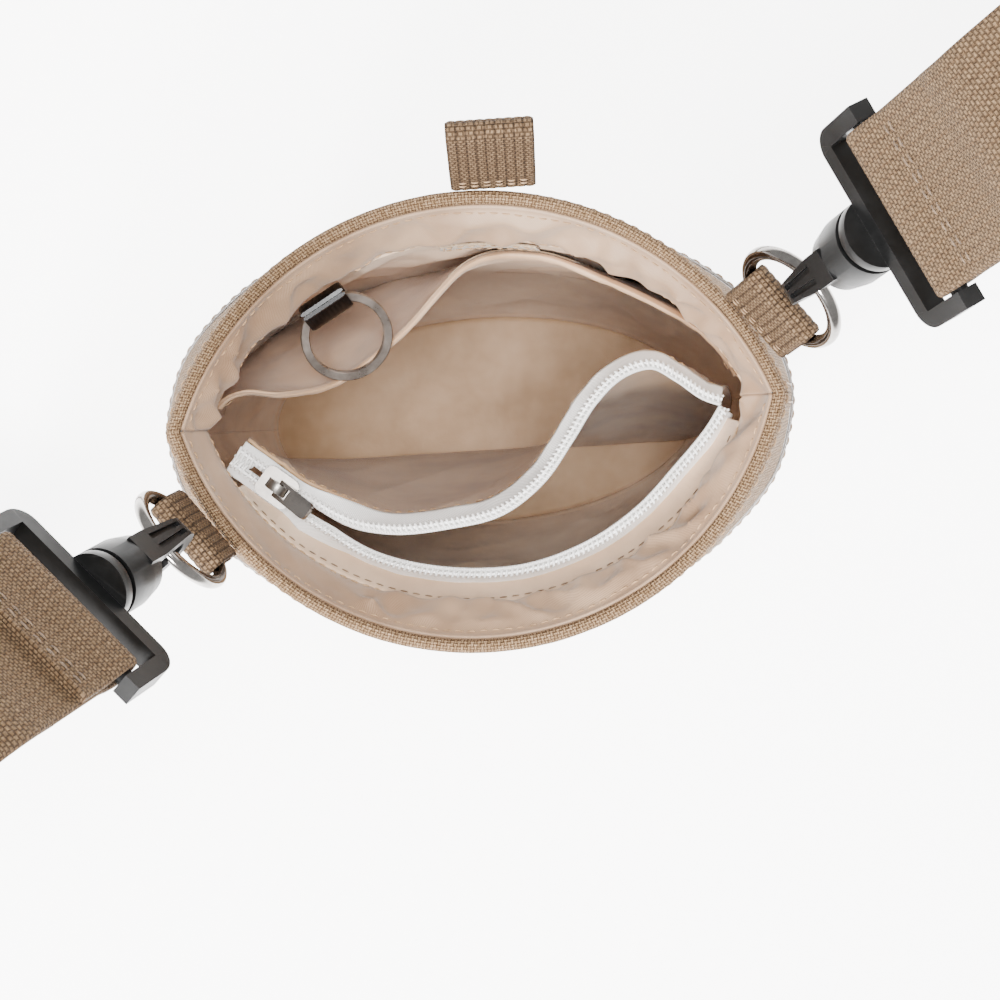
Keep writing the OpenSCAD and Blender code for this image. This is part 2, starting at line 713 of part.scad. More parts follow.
module hook(s) {
    color(black)
        at_hook(s)
            difference() {
                union() {
                    across_y(arm_w) {
                        difference() {
                            translate([jaw_x, 0])
                                circle(r = jaw_out, $fn = 72);
                            translate([jaw_x, -20])
                                square([20, 40]);
                        }
                        translate([jaw_x, jaw_r])
                            square([barrel_x - jaw_x, arm_t]);
                        translate([jaw_x, -jaw_out])
                            square([nose_x - jaw_x, arm_t]);
                    }
                    // the collar widens into the round barrel
                    translate([collar_x, 0, 0])
                        rotate([0, 90, 0])
                            cylinder(r1 = collar_r - 1, r2 = collar_r, h = barrel_x - collar_x, $fn = 72);
                    translate([barrel_x, 0, 0])
                        rotate([0, 90, 0])
                            cylinder(r = collar_r, h = barrel_end - barrel_x, $fn = 72);
                }
                // the arm narrows from the collar to its tip
                for (y = [-1, 1])
                    translate([0, 0, -jaw_out - 1])
                        linear_extrude(2 * jaw_out + 2)
                            polygon([
                                [-jaw_out - 2, y * arm_tip_w / 2], [jaw_x - 2, y * arm_tip_w / 2],
                                [collar_x, y * arm_w / 2], [collar_x, y * (arm_w / 2 + 2)],
                                [-jaw_out - 2, y * (arm_w / 2 + 2)]
                            ]);
                // the jaw
                across_y(arm_w + 1) {
                    translate([jaw_x, 0])
                        circle(r = jaw_r, $fn = 72);
                    translate([jaw_x, -jaw_r])
                        square([collar_x - jaw_x, 2 * jaw_r]);
                }
                // two long grooves in the back of the arm
                for (y = [-1, 1])
                    translate([0, 0, jaw_out - 1.3])
                        linear_extrude(2)
                            polygon([
                                [jaw_x - 1.5, y * 0.5], [collar_x - 0.6, y * 0.9],
                                [collar_x - 0.6, y * (0.9 + groove_w)], [jaw_x - 1.5, y * (0.3 + groove_w)]
                            ]);
                // the slot that the gate swings in
                translate([collar_x - 1, -gate_w / 2 - gate_gap, -collar_r - 1])
                    cube([gate_x - collar_x + 1 + gate_eye + 0.3, gate_w + 2 * gate_gap, collar_r + 0.6]);
                translate([gate_x, 0, gate_z])
                    rotate([90, 0, 0])
                        cylinder(r = gate_pin_r, h = 2 * collar_r, center = true, $fn = 32);
                // the swivel's bore and the cavity for its head
                translate([bore_x - eps, 0, 0])
                    rotate([0, 90, 0])
                        cylinder(r = stem_r + run_gap, h = 5, $fn = 64);
                translate([head_x - 0.3, 0, 0])
                    rotate([0, 90, 0])
                        cylinder(r = head_r + 0.3, h = bore_x - head_x + 0.3, $fn = 64);
            }
}
module gate(s) {
    color(black)
        at_hook(s)
            difference() {
                union() {
                    across_y(gate_w) {
                        translate([gate_x, gate_z])
                            circle(r = gate_eye, $fn = 40);
                        polygon([
                            [gate_tip, gate_z + 1.1], [gate_tip + 0.8, gate_z + 0.9],
                            [nose_x + 0.2, gate_z + 0.9], [nose_x + 0.2, gate_z - gate_eye],
                            [gate_x, gate_z - gate_eye], [gate_x, gate_z + gate_eye],
                            [gate_x - 4, gate_z + 0.9 + gate_t], [gate_tip + 0.8, gate_z + 0.9 + gate_t],
                            [gate_tip, gate_z + gate_t]
                        ]);
                    }
                }
                translate([gate_x, 0, gate_z])
                    rotate([90, 0, 0])
                        cylinder(r = gate_pin_r + run_gap, h = 2 * collar_r, center = true, $fn = 40);
                // room between the two cheeks for the spring
                translate([gate_x - 4.5, -cheek_y, gate_z - 3])
                    cube([9, 2 * cheek_y, 6.3]);
            }
}
module gate_pin(s) {
    color(steel)
        at_hook(s)
            translate([gate_x, 0, gate_z])
                rotate([90, 0, 0])
                    cylinder(r = gate_pin_r, h = pin_l, center = true, $fn = 32);
}
// three turns round the pin, one leg on the gate and one up in the slot
coil_wire = 0.55;
module gate_spring(s) {
    turn_in = gate_pin_r + 0.15;
    turn_mid = turn_in + coil_wire / 2;
    color(steel)
        at_hook(s)
            translate([gate_x, 0, gate_z]) {
                rotate([90, 0, 0])
                    rotate_extrude($fn = 48) {
                        translate([turn_in, -1.4 * coil_wire])
                            square([0.6 * coil_wire, 2.8 * coil_wire]);
                        for (i = [-1, 0, 1])
                            translate([turn_in, (1.1 * i - 0.5) * coil_wire])
                                square(coil_wire);
                    }
                translate([0, 1.1 * coil_wire, -turn_mid])
                    rotate([0, -90, 0])
                        cylinder(r = 0.45 * coil_wire, h = 4.3, $fn = 16);
                translate([turn_mid, -1.1 * coil_wire, 0])
                    cylinder(r = 0.45 * coil_wire, h = 4.8, $fn = 16);
            }
}

// ---------------------------------------------------------------- swivel base
neck = 1.4;
boss_x = barrel_end + neck;
boss_l = 2.5;
bar_x = boss_x + boss_l;
bar_l = 4;
frame_t = 5;
side_t = 3.9;
frame_half = strap_w / 2 + 0.6 + side_t;
frame_end = bar_x + 16;
web_bar_r = 1.9;
web_x = frame_end - 2.5;
corner_r = 5;
module swivel_base(s) {
    color(black)
        at_hook(s) {
            translate([head_x, 0, 0])
                rotate([0, 90, 0])
                    cylinder(r = head_r, h = head_l, $fn = 64);
            translate([head_x + head_l - eps, 0, 0])
                rotate([0, 90, 0])
                    cylinder(r = stem_r, h = boss_x - head_x - head_l + 2 * eps, $fn = 64);
            translate([boss_x, 0, 0])
                rotate([0, 90, 0])
                    cylinder(r = collar_r, h = boss_l, $fn = 72);
            for (y = [-12.5, 12.5])
                translate([bar_x - 1, y, 0])
                    rotate([0, 90, 0])
                        cylinder(r = 1.6, h = 2, $fn = 32);
            translate([0, 0, -frame_t / 2])
                linear_extrude(frame_t)
                    difference() {
                        union() {
                            translate([bar_x, -frame_half + corner_r])
                                square([frame_end - bar_x, 2 * frame_half - 2 * corner_r]);
                            translate([bar_x + corner_r, -frame_half])
                                square([frame_end - bar_x - corner_r, 2 * frame_half]);
                            for (y = [-1, 1])
                                translate([bar_x + corner_r, y * (frame_half - corner_r)])
                                    circle(r = corner_r, $fn = 48);
                        }
                        translate([bar_x + bar_l, -frame_half + side_t])
                            square([20, 2 * (frame_half - side_t)]);
                    }
            translate([web_x, 0, 0])
                rotate([90, 0, 0])
                    cylinder(r = web_bar_r, h = 2 * frame_half - side_t, center = true, $fn = 40);
        }
}

// ---------------------------------------------------------------- strap ends
fold_in = web_bar_r + 0.2;
fold_out = fold_in + strap_t;
flat_x = web_x + 8;
tail_x = flat_x + 8;
strap_end_x = flat_x + 16;
// the strap's end folded round the bar: tail is where its upper layer stops
module strap_end(s, tail) {
    color(webbing)
        at_hook(s)
            across_y(strap_w)
                difference() {
                    union() {
                        translate([web_x, 0])
                            circle(r = fold_out, $fn = 48);
                        polygon([
                            [web_x + 1, -fold_out], [flat_x, -strap_t], [strap_end_x, -strap_t],
                            [strap_end_x, 0], [tail, 0], [tail, strap_t], [flat_x, strap_t],
                            [web_x + 1, fold_out]
                        ]);
                    }
                    translate([web_x, 0])
                        circle(r = fold_in, $fn = 48);
                    polygon([
                        [web_x + 0.4, -fold_in], [flat_x - 1.5, -0.05],
                        [flat_x - 1.5, 0.05], [web_x + 0.4, fold_in]
                    ]);
                }
}
module left_tab() { tab(LEFT_SIDE); }
module left_ring() { ring(LEFT_SIDE); }
module left_hook() { hook(LEFT_SIDE); }
module left_gate() { gate(LEFT_SIDE); }
module left_gate_pin() { gate_pin(LEFT_SIDE); }
module left_gate_spring() { gate_spring(LEFT_SIDE); }
module left_swivel_base() { swivel_base(LEFT_SIDE); }
module left_strap_end() { strap_end(LEFT_SIDE, tail_x); }
module right_tab() { tab(RIGHT_SIDE); }
module right_ring() { ring(RIGHT_SIDE); }
module right_hook() { hook(RIGHT_SIDE); }
module right_gate() { gate(RIGHT_SIDE); }
module right_gate_pin() { gate_pin(RIGHT_SIDE); }
module right_gate_spring() { gate_spring(RIGHT_SIDE); }
module right_swivel_base() { swivel_base(RIGHT_SIDE); }
module right_strap_end() { strap_end(RIGHT_SIDE, strap_end_x); }

// ---------------------------------------------------------------- shoulder strap
// the frame of a snap hook, to start a strap where its end stops
function twisted(s, v) = [v.x, v.y * cos(s[4]) - v.z * sin(s[4]), v.y * sin(s[4]) + v.z * cos(s[4])];
function tipped(v) = [v.x * cos(hook_rise) - v.z * sin(hook_rise), v.y, v.x * sin(hook_rise) + v.z * cos(hook_rise)];
function hook_way(s, v) =
    let(w = tipped(twisted(s, v)))
    [w.x * cos(s[3]) - w.y * sin(s[3]), w.x * sin(s[3]) + w.y * cos(s[3]), w.z];
function hook_point(s, v) = hook_at(s) + hook_way(s, v);
// a stop of the strap: where its middle is, and which way its width points
function stop_at(s, x, mid) =
    let(p = hook_point(s, [x, 0, mid]), w = hook_way(s, [0, 1, 0])) [p.x, p.y, p.z, w.x, w.y, w.z];
edge_z = strap_w / 2 + 0.5;
slide_z = strap_w / 2 + 5.4;
meet_x = 40;
meet_y = 206;
left_stops = [
    stop_at(LEFT_SIDE, strap_end_x + 0.7, -strap_t / 2),
    stop_at(LEFT_SIDE, strap_end_x + 14, -strap_t / 2),
    [-112, -52, 279, 0.5, -0.8, 0],
    [-138, -68, 270, 0.5, -0.8, 0],
    [-158, -80, 225, 0.4, -0.9, 0],
    [-166, -84, 160, 0.2, -0.9, -0.2],
    [-170, -80, 95, 0.0, -0.8, -0.6],
    [-173, -62, 48, 0.0, -0.4, -0.9],
    [-175, -34, edge_z + 5, 0, 0, -1],
    [-177, 4, edge_z + 0.5, 0, 0, -1],
    [-177, 48, edge_z, 0, 0, -1],
    [-171, 96, edge_z, 0, 0, -1],
    [-148, 146, edge_z, 0, 0, -1],
    [-105, 184, edge_z, 0, 0, -1],
    [-50, 202, edge_z + 2, 0, 0, -1],
    [0, meet_y, slide_z, 0, 0, -1],
    [meet_x, meet_y, slide_z, 0, 0, -1]
];
right_stops = [
    stop_at(RIGHT_SIDE, strap_end_x + 0.7, 0),
    stop_at(RIGHT_SIDE, strap_end_x + 14, 0),
    [128, 62, 277, -0.6, 0.8, 0.1],
    [154, 80, 266, -0.5, 0.8, 0.1],
    [172, 92, 222, -0.4, 0.9, 0.1],
    [180, 98, 160, -0.2, 0.9, 0.3],
    [184, 104, 95, 0.0, 0.8, 0.6],
    [184, 114, 48, 0.0, 0.4, 0.9],
    [180, 132, edge_z + 5, 0, 0, 1],
    [170, 154, edge_z + 0.5, 0, 0, 1],
    [153, 175, edge_z + 0.3, 0, 0, 1],
    [130, 193, edge_z + 1, 0, 0, 1],
    [106, 203, slide_z - 1, 0, 0, 1],
    [80, meet_y, slide_z, 0, 0, 1],
    [meet_x, meet_y, slide_z, 0, 0, 1]
];
function spot(v) = [v[0], v[1], v[2]];
function width_way(v) = [v[3], v[4], v[5]];
// four corners of the strap's section at one place of its run
function section(stops, t, thick) =
    let(c = curve(stops, t), h = spot(curve(stops, min(1, t + 0.004)) - curve(stops, max(0, t - 0.004))))
    let(along = unit(h), wide = unit(width_way(c) - along * (width_way(c) * along)))
    let(up = cross(along, wide), a = wide * strap_w / 2, b = up * thick / 2)
    [spot(c) + a + b, spot(c) - a + b, spot(c) - a - b, spot(c) + a - b];
module strap_length(stops, thick, end) {
    rings = 4 * (len(stops) - 1);
    color(webbing)
        bar([for (i = [0:rings]) section(stops, min(end, i / rings), thick)]);
}
module strap_left_length() { strap_length(left_stops, strap_t, 1); }
module strap_right_length() { strap_length(right_stops, 2 * strap_t, 0.998); }

// the slide that sets the length: two end bars on one side of the strap, one on the other
adjust_l = 30;
adjust_side = 3;
adjust_bar = 4;
adjust_t = 3;
adjust_half = strap_w / 2 + 0.8 + adjust_side;
adjust_room = 2 * strap_t + 0.8;
module strap_adjuster() {
    color(black)
        translate([meet_x, meet_y, slide_z]) {
            for (z = [-1, 1])
                translate([0, 0, z * (adjust_half - adjust_side / 2)])
                    cube([adjust_l, adjust_room + 2 * adjust_t, adjust_side], center = true);
            for (x = [-1, 1])
                translate([x * (adjust_l - adjust_bar) / 2, -(adjust_room + adjust_t) / 2, 0])
                    cube([adjust_bar, adjust_t, 2 * adjust_half - 1], center = true);
            translate([0, (adjust_room + adjust_t) / 2, 0])
                cube([adjust_bar + 2, adjust_t, 2 * adjust_half - 1], center = true);
        }
}

outer_front_panel();
outer_back_panel();
base_panel();
reflective_band();
rim_front();
rim_back();
channel_band_front();
channel_band_back();
spring_strip_front();
spring_strip_back();
spring_pins();
lining_front();
lining_back();
lining_floor();
zip_pocket_panel();
zip_tape_front();
zip_tape_back();
zip_coil_front();
zip_coil_back();
zip_slider();
zip_pull();
slip_pocket_panel();
grip_strip_wall();
grip_strip_pocket();
key_band();
key_ring();
back_loop();
left_tab();
left_ring();
left_hook();
left_gate();
left_gate_pin();
left_gate_spring();
left_swivel_base();
left_strap_end();
right_tab();
right_ring();
right_hook();
right_gate();
right_gate_pin();
right_gate_spring();
right_swivel_base();
right_strap_end();
strap_left_length();
strap_right_length();
strap_adjuster();
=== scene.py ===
import math

import bmesh
import bpy
from mathutils import Matrix, Vector, noise


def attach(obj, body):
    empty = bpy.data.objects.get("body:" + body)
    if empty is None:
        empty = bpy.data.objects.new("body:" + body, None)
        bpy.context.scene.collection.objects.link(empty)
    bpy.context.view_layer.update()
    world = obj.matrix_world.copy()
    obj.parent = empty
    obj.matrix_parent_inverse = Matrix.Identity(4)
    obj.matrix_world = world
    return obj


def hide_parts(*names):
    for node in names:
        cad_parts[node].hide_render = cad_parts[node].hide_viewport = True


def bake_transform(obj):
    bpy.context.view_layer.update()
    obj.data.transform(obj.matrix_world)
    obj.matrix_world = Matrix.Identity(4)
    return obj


bl_info = {
    "name": "Treat pouch",
    "version": (1, 0, 0),
    "blender": (4, 5, 0),
    "location": "View3D > Sidebar > Treat pouch",
    "description": "Dresses a soft treat pouch and its shoulder strap",
    "category": "Object",
}

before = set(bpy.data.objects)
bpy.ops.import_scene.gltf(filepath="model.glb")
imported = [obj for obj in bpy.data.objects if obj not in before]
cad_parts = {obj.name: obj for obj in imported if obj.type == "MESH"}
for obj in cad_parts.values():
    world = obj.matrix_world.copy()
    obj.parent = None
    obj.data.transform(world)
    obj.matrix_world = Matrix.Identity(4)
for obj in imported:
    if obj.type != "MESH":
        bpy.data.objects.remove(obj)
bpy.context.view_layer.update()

MM = 0.001
SAME_POINT = 0.01 * MM
BACK, FRONT = 1, -1
SIDES = ("left", "right")

# ------------------------------------------------------------ sizes of the body, in millimetres
POUCH_H = 165.0
HALF_MOUTH, MOUTH_BACK, MOUTH_FRONT = 73.0, 52.0, 57.0
HALF_BASE, BASE_BACK, BASE_FRONT = 70.0, 35.0, 37.0
SIDE_SWELL, FACE_SWELL, FOOT_R = 9.5, 5.0, 8.0
CANVAS_T, LINING_T = 1.6, 0.9
BAND_H, BAND_LEAN = 14.0, 6.0
RIM_R = CANVAS_T
BELLY_Z = 0.66 * POUCH_H
BAND_TOP = POUCH_H - RIM_R
BAND_BOTTOM = BAND_TOP - BAND_H
CHANNEL_IN = 2 * RIM_R + 0.3
LINING_Z = CANVAS_T + 0.3
SAG_Z = 0.3 * POUCH_H
ZIP_Z, TAPE_W, COIL_R, COIL_GAP = 147.0, 9.0, 1.15, 1.4
SLIP_Z = 138.0
STRAP_W, STRAP_T = 38.0, 2.3
TAB_W, TAB_T = 20.0, 1.5
CANVAS_TOP, CANVAS_ROWS = POUCH_H - 2 * CANVAS_T - 0.15, (6.5, 158.6)
TAPE_EDGES, TAPE_PROUD = (104.0, 120.0), 0.9
FACES = ((FRONT, "front"), (BACK, "back"))


def mix(a, b, t):
    return a + (b - a) * t


def ease(t):
    t = min(1.0, max(0.0, t))
    return t * t * (3 - 2 * t)


def climb(z):
    return max(0.0, (z - FOOT_R) / (POUCH_H - FOOT_R))


def swell(z):
    return 4 * climb(z) * (1 - climb(z))


def foot_inset(z):
    return 0.0 if z >= FOOT_R else FOOT_R - math.sqrt(max(0.0, FOOT_R**2 - (FOOT_R - z) ** 2))


def half_width(z):
    return mix(HALF_BASE, HALF_MOUTH, climb(z)) + SIDE_SWELL * swell(z) - foot_inset(z)


def reach(side, z):
    low, high = (BASE_BACK, MOUTH_BACK) if side == BACK else (BASE_FRONT, MOUTH_FRONT)
    return mix(low, high, climb(z)) + FACE_SWELL * swell(z) - foot_inset(z)


def wall(side, k, z, off):
    """A point of the bag's wall, in mm: k 0 is the right corner and 1 the left, off the depth inside."""
    w, s = half_width(z) - off, reach(side, z) - off
    r = (w * w + s * s) / (2 * s)
    h = 2 * math.atan(s / w)
    a = math.pi / 2 - h + 2 * h * k
    arc = Vector((r * math.cos(a), r * math.sin(a) - r + s))
    oval = Vector((w * math.cos(math.pi * k), s * math.sin(math.pi * k)))
    p = arc.lerp(oval, 1 - ease((z - BELLY_Z) / (POUCH_H - BELLY_Z)))
    return Vector((p.x, side * p.y, z))


def outward(side, k, z):
    """The wall's outward direction."""
    t = (wall(side, k + 0.004, z, 0) - wall(side, k - 0.004, z, 0)).normalized()
    return Vector((t.y, -t.x, 0)) * side


def channel_off(z):
    return CHANNEL_IN + BAND_LEAN * ease((BAND_TOP - z) / BAND_H)


def lining_off(z):
    t = (z - SAG_Z) / (BAND_BOTTOM - 0.2 - SAG_Z)
    return mix(CANVAS_T + 0.3, channel_off(BAND_BOTTOM), ease(t))


def turned(degrees, axis):
    return Matrix.Rotation(math.radians(degrees), 4, axis)


def spline(p, t):
    """A smooth curve through numbers or vectors, t from 0 to 1."""
    s = min(max(t, 0.0), 1.0) * (len(p) - 1)
    i = min(len(p) - 2, int(s))
    u = s - i
    a, b, c, d = (p[min(len(p) - 1, max(0, i + j))] for j in (-1, 0, 1, 2))
    return 0.5 * (
        2 * b + (c - a) * u + (2 * a - 5 * b + 4 * c - d) * u**2
        + (3 * b - a - 3 * c + d) * u**3
    )


def soft(x, y, z=0.0, size=1.0):
    """Smooth noise from -1 to 1, the same in every run."""
    return noise.noise(Vector((x / size, y / size, z)))


# ------------------------------------------------------------ properties
class PouchColours(bpy.types.PropertyGroup):
    canvas: bpy.props.StringProperty(
        name="Canvas", description="Colour of the outer canvas", default="#9A7D5E")
    # Painted shade: this colour darkens the low gaps between the canvas's woven beads.
    canvas_gap_shade: bpy.props.StringProperty(
        name="Canvas gaps", description="Colour that deepens the gaps of the canvas", default="#7A6450")
    # The lining colour is lighter than the cloth's own: painted light that keeps the deep inside of the pouch
    # bright.
    taffeta: bpy.props.StringProperty(name="Lining", description="Colour of the lining", default="#CEAE8E")
    webbing: bpy.props.StringProperty(name="Webbing", description="Colour of the webbing", default="#715A42")
    thread: bpy.props.StringProperty(
        name="Thread", description="Colour of the sewing thread", default="#B3906B")
    zip_white: bpy.props.StringProperty(name="Zip", description="Colour of the zip", default="#F3F1EE")
    black: bpy.props.StringProperty(name="Black metal", description="Colour of the hooks", default="#070707")
    floor: bpy.props.StringProperty(name="Floor", description="Colour of the floor", default="#F4F3F1")


class PouchSizes(bpy.types.PropertyGroup):
    fold_depth: bpy.props.FloatProperty(
        name="Fold depth", description="Depth of the folds in the lining",
        default=2.2 * MM, min=0.0, max=3 * MM, unit="LENGTH")
    stitch_length: bpy.props.FloatProperty(
        name="Stitch", description="Length of one stitch",
        default=2.6 * MM, min=1.5 * MM, max=5 * MM, unit="LENGTH")
    thread_radius: bpy.props.FloatProperty(
        name="Thread radius", description="Radius of the sewing thread",
        default=0.22 * MM, min=0.1 * MM, max=0.5 * MM, unit="LENGTH")
    coil_pitch: bpy.props.FloatProperty(
        name="Coil pitch", description="Distance between two teeth of the zip",
        default=1.3 * MM, min=0.8 * MM, max=2 * MM, unit="LENGTH")


class PouchStage(bpy.types.PropertyGroup):
    lens: bpy.props.FloatProperty(
        name="Lens", description="Focal length of the camera", default=73.44, min=20, max=200)
    key_power: bpy.props.FloatProperty(
        name="Key light", description="Power of the soft light overhead", default=34.0, min=0, max=200,
        subtype="POWER")


def colours():
    return bpy.context.scene.pouch_colours


def sizes():
    return bpy.context.scene.pouch_sizes


# ------------------------------------------------------------ mesh helpers
def clear_selection():
    if bpy.context.object and bpy.context.object.mode != "OBJECT":
        bpy.ops.object.mode_set(mode="OBJECT")
    bpy.ops.object.select_all(action="DESELECT")


def take(o, *others):
    """Makes o active, and selects it with the others."""
    clear_selection()
    for each in (o, *others):
        each.select_set(True)
    bpy.context.view_layer.objects.active = o


def shade(o, angle=50):
    take(o)
    bpy.ops.object.shade_smooth_by_angle(angle=math.radians(angle))


def join(o, *others):
    take(o, *others)
    bpy.ops.object.join()


def cloth(name, across, along, place, width, length, flip=False, wrap=False):
    """A grid shaped over place(u, v), which gives millimetres. Its UV map is in centimetres of cloth.
    wrap merges the points that fall together where the cloth runs out to a corner."""
    clear_selection()
    bpy.ops.mesh.primitive_grid_add(x_subdivisions=across, y_subdivisions=along, size=1, calc_uvs=True)
    o = bpy.context.object
    o.name = o.data.name = name
    for loop in o.data.uv_layers.active.data:
        loop.uv = (loop.uv[0] * width / 10, loop.uv[1] * length / 10)
    for v in o.data.vertices:
        v.co = place(v.co.x + 0.5, v.co.y + 0.5) * MM
    if flip:
        o.data.flip_normals()
    if wrap:
        bpy.ops.object.mode_set(mode="EDIT")
        bpy.ops.mesh.select_all(action="SELECT")
        bpy.ops.mesh.remove_doubles(threshold=SAME_POINT)
        bpy.ops.object.mode_set(mode="OBJECT")
    shade(o)
    return o


def thicken(o, thickness):
    """Gives cloth its thickness, in mm, behind its face."""
    take(o)
    m = o.modifiers.new("Solidify", "SOLIDIFY")
    m.thickness = thickness * MM
    m.use_even_offset = True
    bpy.ops.object.modifier_apply(modifier=m.name)


def dress(o, finish_name, body, slot, *nodes):
    """Gives a finished piece its finish, its body and the CAD nodes it stands for."""
    o.data.materials.clear()
    o.data.materials.append(finish(finish_name))
    if body:
        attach(o, body)
    if nodes:
        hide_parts(*nodes)


def made(name, bm):
    """A new object from a bmesh, its faces turned outwards."""
    bmesh.ops.recalc_face_normals(bm, faces=bm.faces[:])
    mesh = bpy.data.meshes.new(name)
    bm.to_mesh(mesh)
    bm.free()
    o = bpy.data.objects.new(name, mesh)
    bpy.context.scene.collection.objects.link(o)
    return o


def sweep(name, rings, uvs=None):
    """A tube through rings of points in mm, its ends closed. uvs gives the place round the ring and
    along it, in cm."""
    bm = bmesh.new()
    layer = bm.loops.layers.uv.new("UVMap")
    rows = [[bm.verts.new(p * MM) for p in ring] for ring in rings]
    n, count = len(rings[0]), len(rows)
    around, along = uvs or ([j / n for j in range(n + 1)], [i / count for i in range(count + 1)])
    for i in range(count - 1):
        a, b = rows[i], rows[i + 1]
        for j in range(n):
            k = (j + 1) % n
            f = bm.faces.new((a[j], a[k], b[k], b[j]))
            f.smooth = True
            for corner, (x, y) in zip(f.loops, ((j, i), (j + 1, i), (j + 1, i + 1), (j, i + 1))):
                corner[layer].uv = (around[x], along[y])
    for row, end in ((range(n)[::-1], 0), (range(n), count - 1)):
        f = bm.faces.new([rows[end][j] for j in row])
        for corner, j in zip(f.loops, row):
            corner[layer].uv = (around[j], along[end] + (0.2 if j > n / 2 else 0.0))
    o = made(name, bm)
    shade(o, 60)
    return o


def sewn(top, under):
    """A stitch's place with the direction out of the cloth, from points on it and under it."""
    return top, (top - under).normalized()


def distances(points):
    """Length along a line of points, in cm, at each of them."""
    total, out = 0.0, [0.0]
    for a, b in zip(points, points[1:]):
        total += (b - a).length / 10
        out.append(total)
    return out + [total]


# the rings of one stitch: place along it, share of the thread's radius, and rise in radii
STITCH_RINGS = ((0.06, 0.35, -0.5), (0.25, 0.9, 0.1), (0.5, 1.0, 0.35), (0.75, 0.9, 0.1), (0.94, 0.35, -0.5))
STITCH_SIDES, STITCH_LIFT = 6, 0.12


def stitches(name, lines, slot, length=None, gap=0.9, thread="sewing_thread", body="pouch"):
    """Dressed rows of thread: each line is a list of (point, outward direction) in mm."""
    length = length or sizes().stitch_length / MM
    radius = sizes().thread_radius / MM
    bm = bmesh.new()
    for line in lines:
        marks = distances([p for p, _ in line])[:-1]
        total = marks[-1] * 10
        count = max(1, int(total / (length + gap)))
        step = total / count
        for c in range(count):
            rings = []
            for f, size, rise in STITCH_RINGS:
                at = (c + 0.5 + (f - 0.5) * length / step) * step / 10
                i = next((k for k in range(len(marks) - 1) if marks[k + 1] >= at), 0)
                u = (at - marks[i]) / max(1e-6, marks[i + 1] - marks[i])
                (p, n), (q, m) = line[i], line[i + 1]
                t = (q - p).normalized()
                p, n = p.lerp(q, u), n.lerp(m, u).normalized()
                b = n.cross(t).normalized()
                centre = p + n * (radius * rise + STITCH_LIFT)
                turns = [j * math.pi / 3 for j in range(STITCH_SIDES)]
                rings.append([bm.verts.new(
                    (centre + (b * math.cos(a) + n * math.sin(a)) * radius * size) * MM) for a in turns])
            for a, b in zip(rings, rings[1:]):
                for j in range(STITCH_SIDES):
                    k = (j + 1) % STITCH_SIDES
                    bm.faces.new((a[j], a[k], b[k], b[j])).smooth = True
            bm.faces.new(rings[0][::-1])
            bm.faces.new(rings[-1])
    dress(made(name, bm), thread, body, slot)


def webbing_section(width, thick, ribs, depth):
    """The section of a ribbed webbing, as (across, height) going round it, in mm."""
    n = ribs * 4
    top = []
    for i in range(n + 1):
        x = (i / n - 0.5) * (width - 0.5)
        edge = 1 - 0.35 * ease((abs(x) - width / 2 + 1.0) / 0.9)
        rib = abs(math.sin(math.pi * i / 4))
        top.append((x, thick / 2 * edge * (1 - depth * (1 - rib))))
    side = [(width / 2, thick * 0.18), (width / 2, -thick * 0.18)]
    bottom = [(x, -h) for x, h in reversed(top)]
    other = [(-width / 2, -thick * 0.18), (-width / 2, thick * 0.18)]
    return top + side + bottom + other


def webbing(name, stations, width, thick, ribs, depth):
    """Webbing swept through (point, width direction, up direction) stations, in mm."""
    section = webbing_section(width, thick, ribs, depth)
    rings = [[p + w * x + n * h for x, h in section] for p, w, n in stations]
    around = [x / 10 for x, _ in section]
    around.append(around[0])
    return sweep(name, rings, (around, distances([p for p, _, _ in stations])))


# ------------------------------------------------------------ material helpers
def linear(code):
    """An sRGB hex colour as linear light."""
    out = []
    for i in (1, 3, 5):
        c = int(code[i:i + 2], 16) / 255
        out.append(c / 12.92 if c <= 0.04045 else ((c + 0.055) / 1.055) ** 2.4)
    return (*out, 1)


def add(tree, kind, inputs, out="Fac", stops=None, **settings):
    """Adds a node with its settings, values, links and colour stops, and gives the output that is named."""
    node = tree.nodes.new("ShaderNode" + kind)
    for key, value in settings.items():
        setattr(node, key, value)
    for key, value in inputs.items():
        socket = node.inputs[key]
        if isinstance(key, str):
            socket = next(s for s in node.inputs if s.enabled and s.name == key)
        if isinstance(value, bpy.types.NodeSocket):
            tree.links.new(value, socket)
        else:
            socket.default_value = value
    if stops:
        points = node.color_ramp.elements
        while len(points) < len(stops):
            points.new(0.5)
        for point, (place, colour) in zip(points, stops.items()):
            point.position = place
            point.color = linear(colour) if isinstance(colour, str) else colour
    return next(s for s in node.outputs if s.enabled and s.name == out)


def material(name, **values):
    """A new material's tree and shader, its constants set on the shader's own sockets."""
    m = bpy.data.materials.new(name)
    m.use_nodes = True
    shader = m.node_tree.nodes["Principled BSDF"]
    for key, value in values.items():
        shader.inputs[key.replace("_", " ").title().replace("Ior", "IOR")].default_value = value
    return m.node_tree, shader


def finish_surface(tree, shader, colour, roughness, height, distance, strength=1.0):
    tree.links.new(colour, shader.inputs["Base Color"])
    if isinstance(roughness, bpy.types.NodeSocket):
        tree.links.new(roughness, shader.inputs["Roughness"])
    else:
        shader.inputs["Roughness"].default_value = roughness
    normal = add(tree, "Bump", {"Height": height, "Distance": distance, "Strength": strength}, "Normal")
    tree.links.new(normal, shader.inputs["Normal"])


def cloth_uv(tree, per_cm):
    """The cloth's own UV map, which is in centimetres, counted in threads."""
    uv = add(tree, "UVMap", {}, "UV", uv_map="UVMap")
    return add(tree, "Mapping", {"Vector": uv, "Scale": (per_cm, per_cm, 1.0)}, "Vector")


# settings of a Mix node that darkens one colour by another
MULTIPLY = {"data_type": "RGBA", "blend_type": "MULTIPLY"}
WHITE = (1, 1, 1, 1)
# the wave texture repeats every 0.31416 units at scale 1: this scale gives one wave to a thread
ONE_WAVE = 0.31416


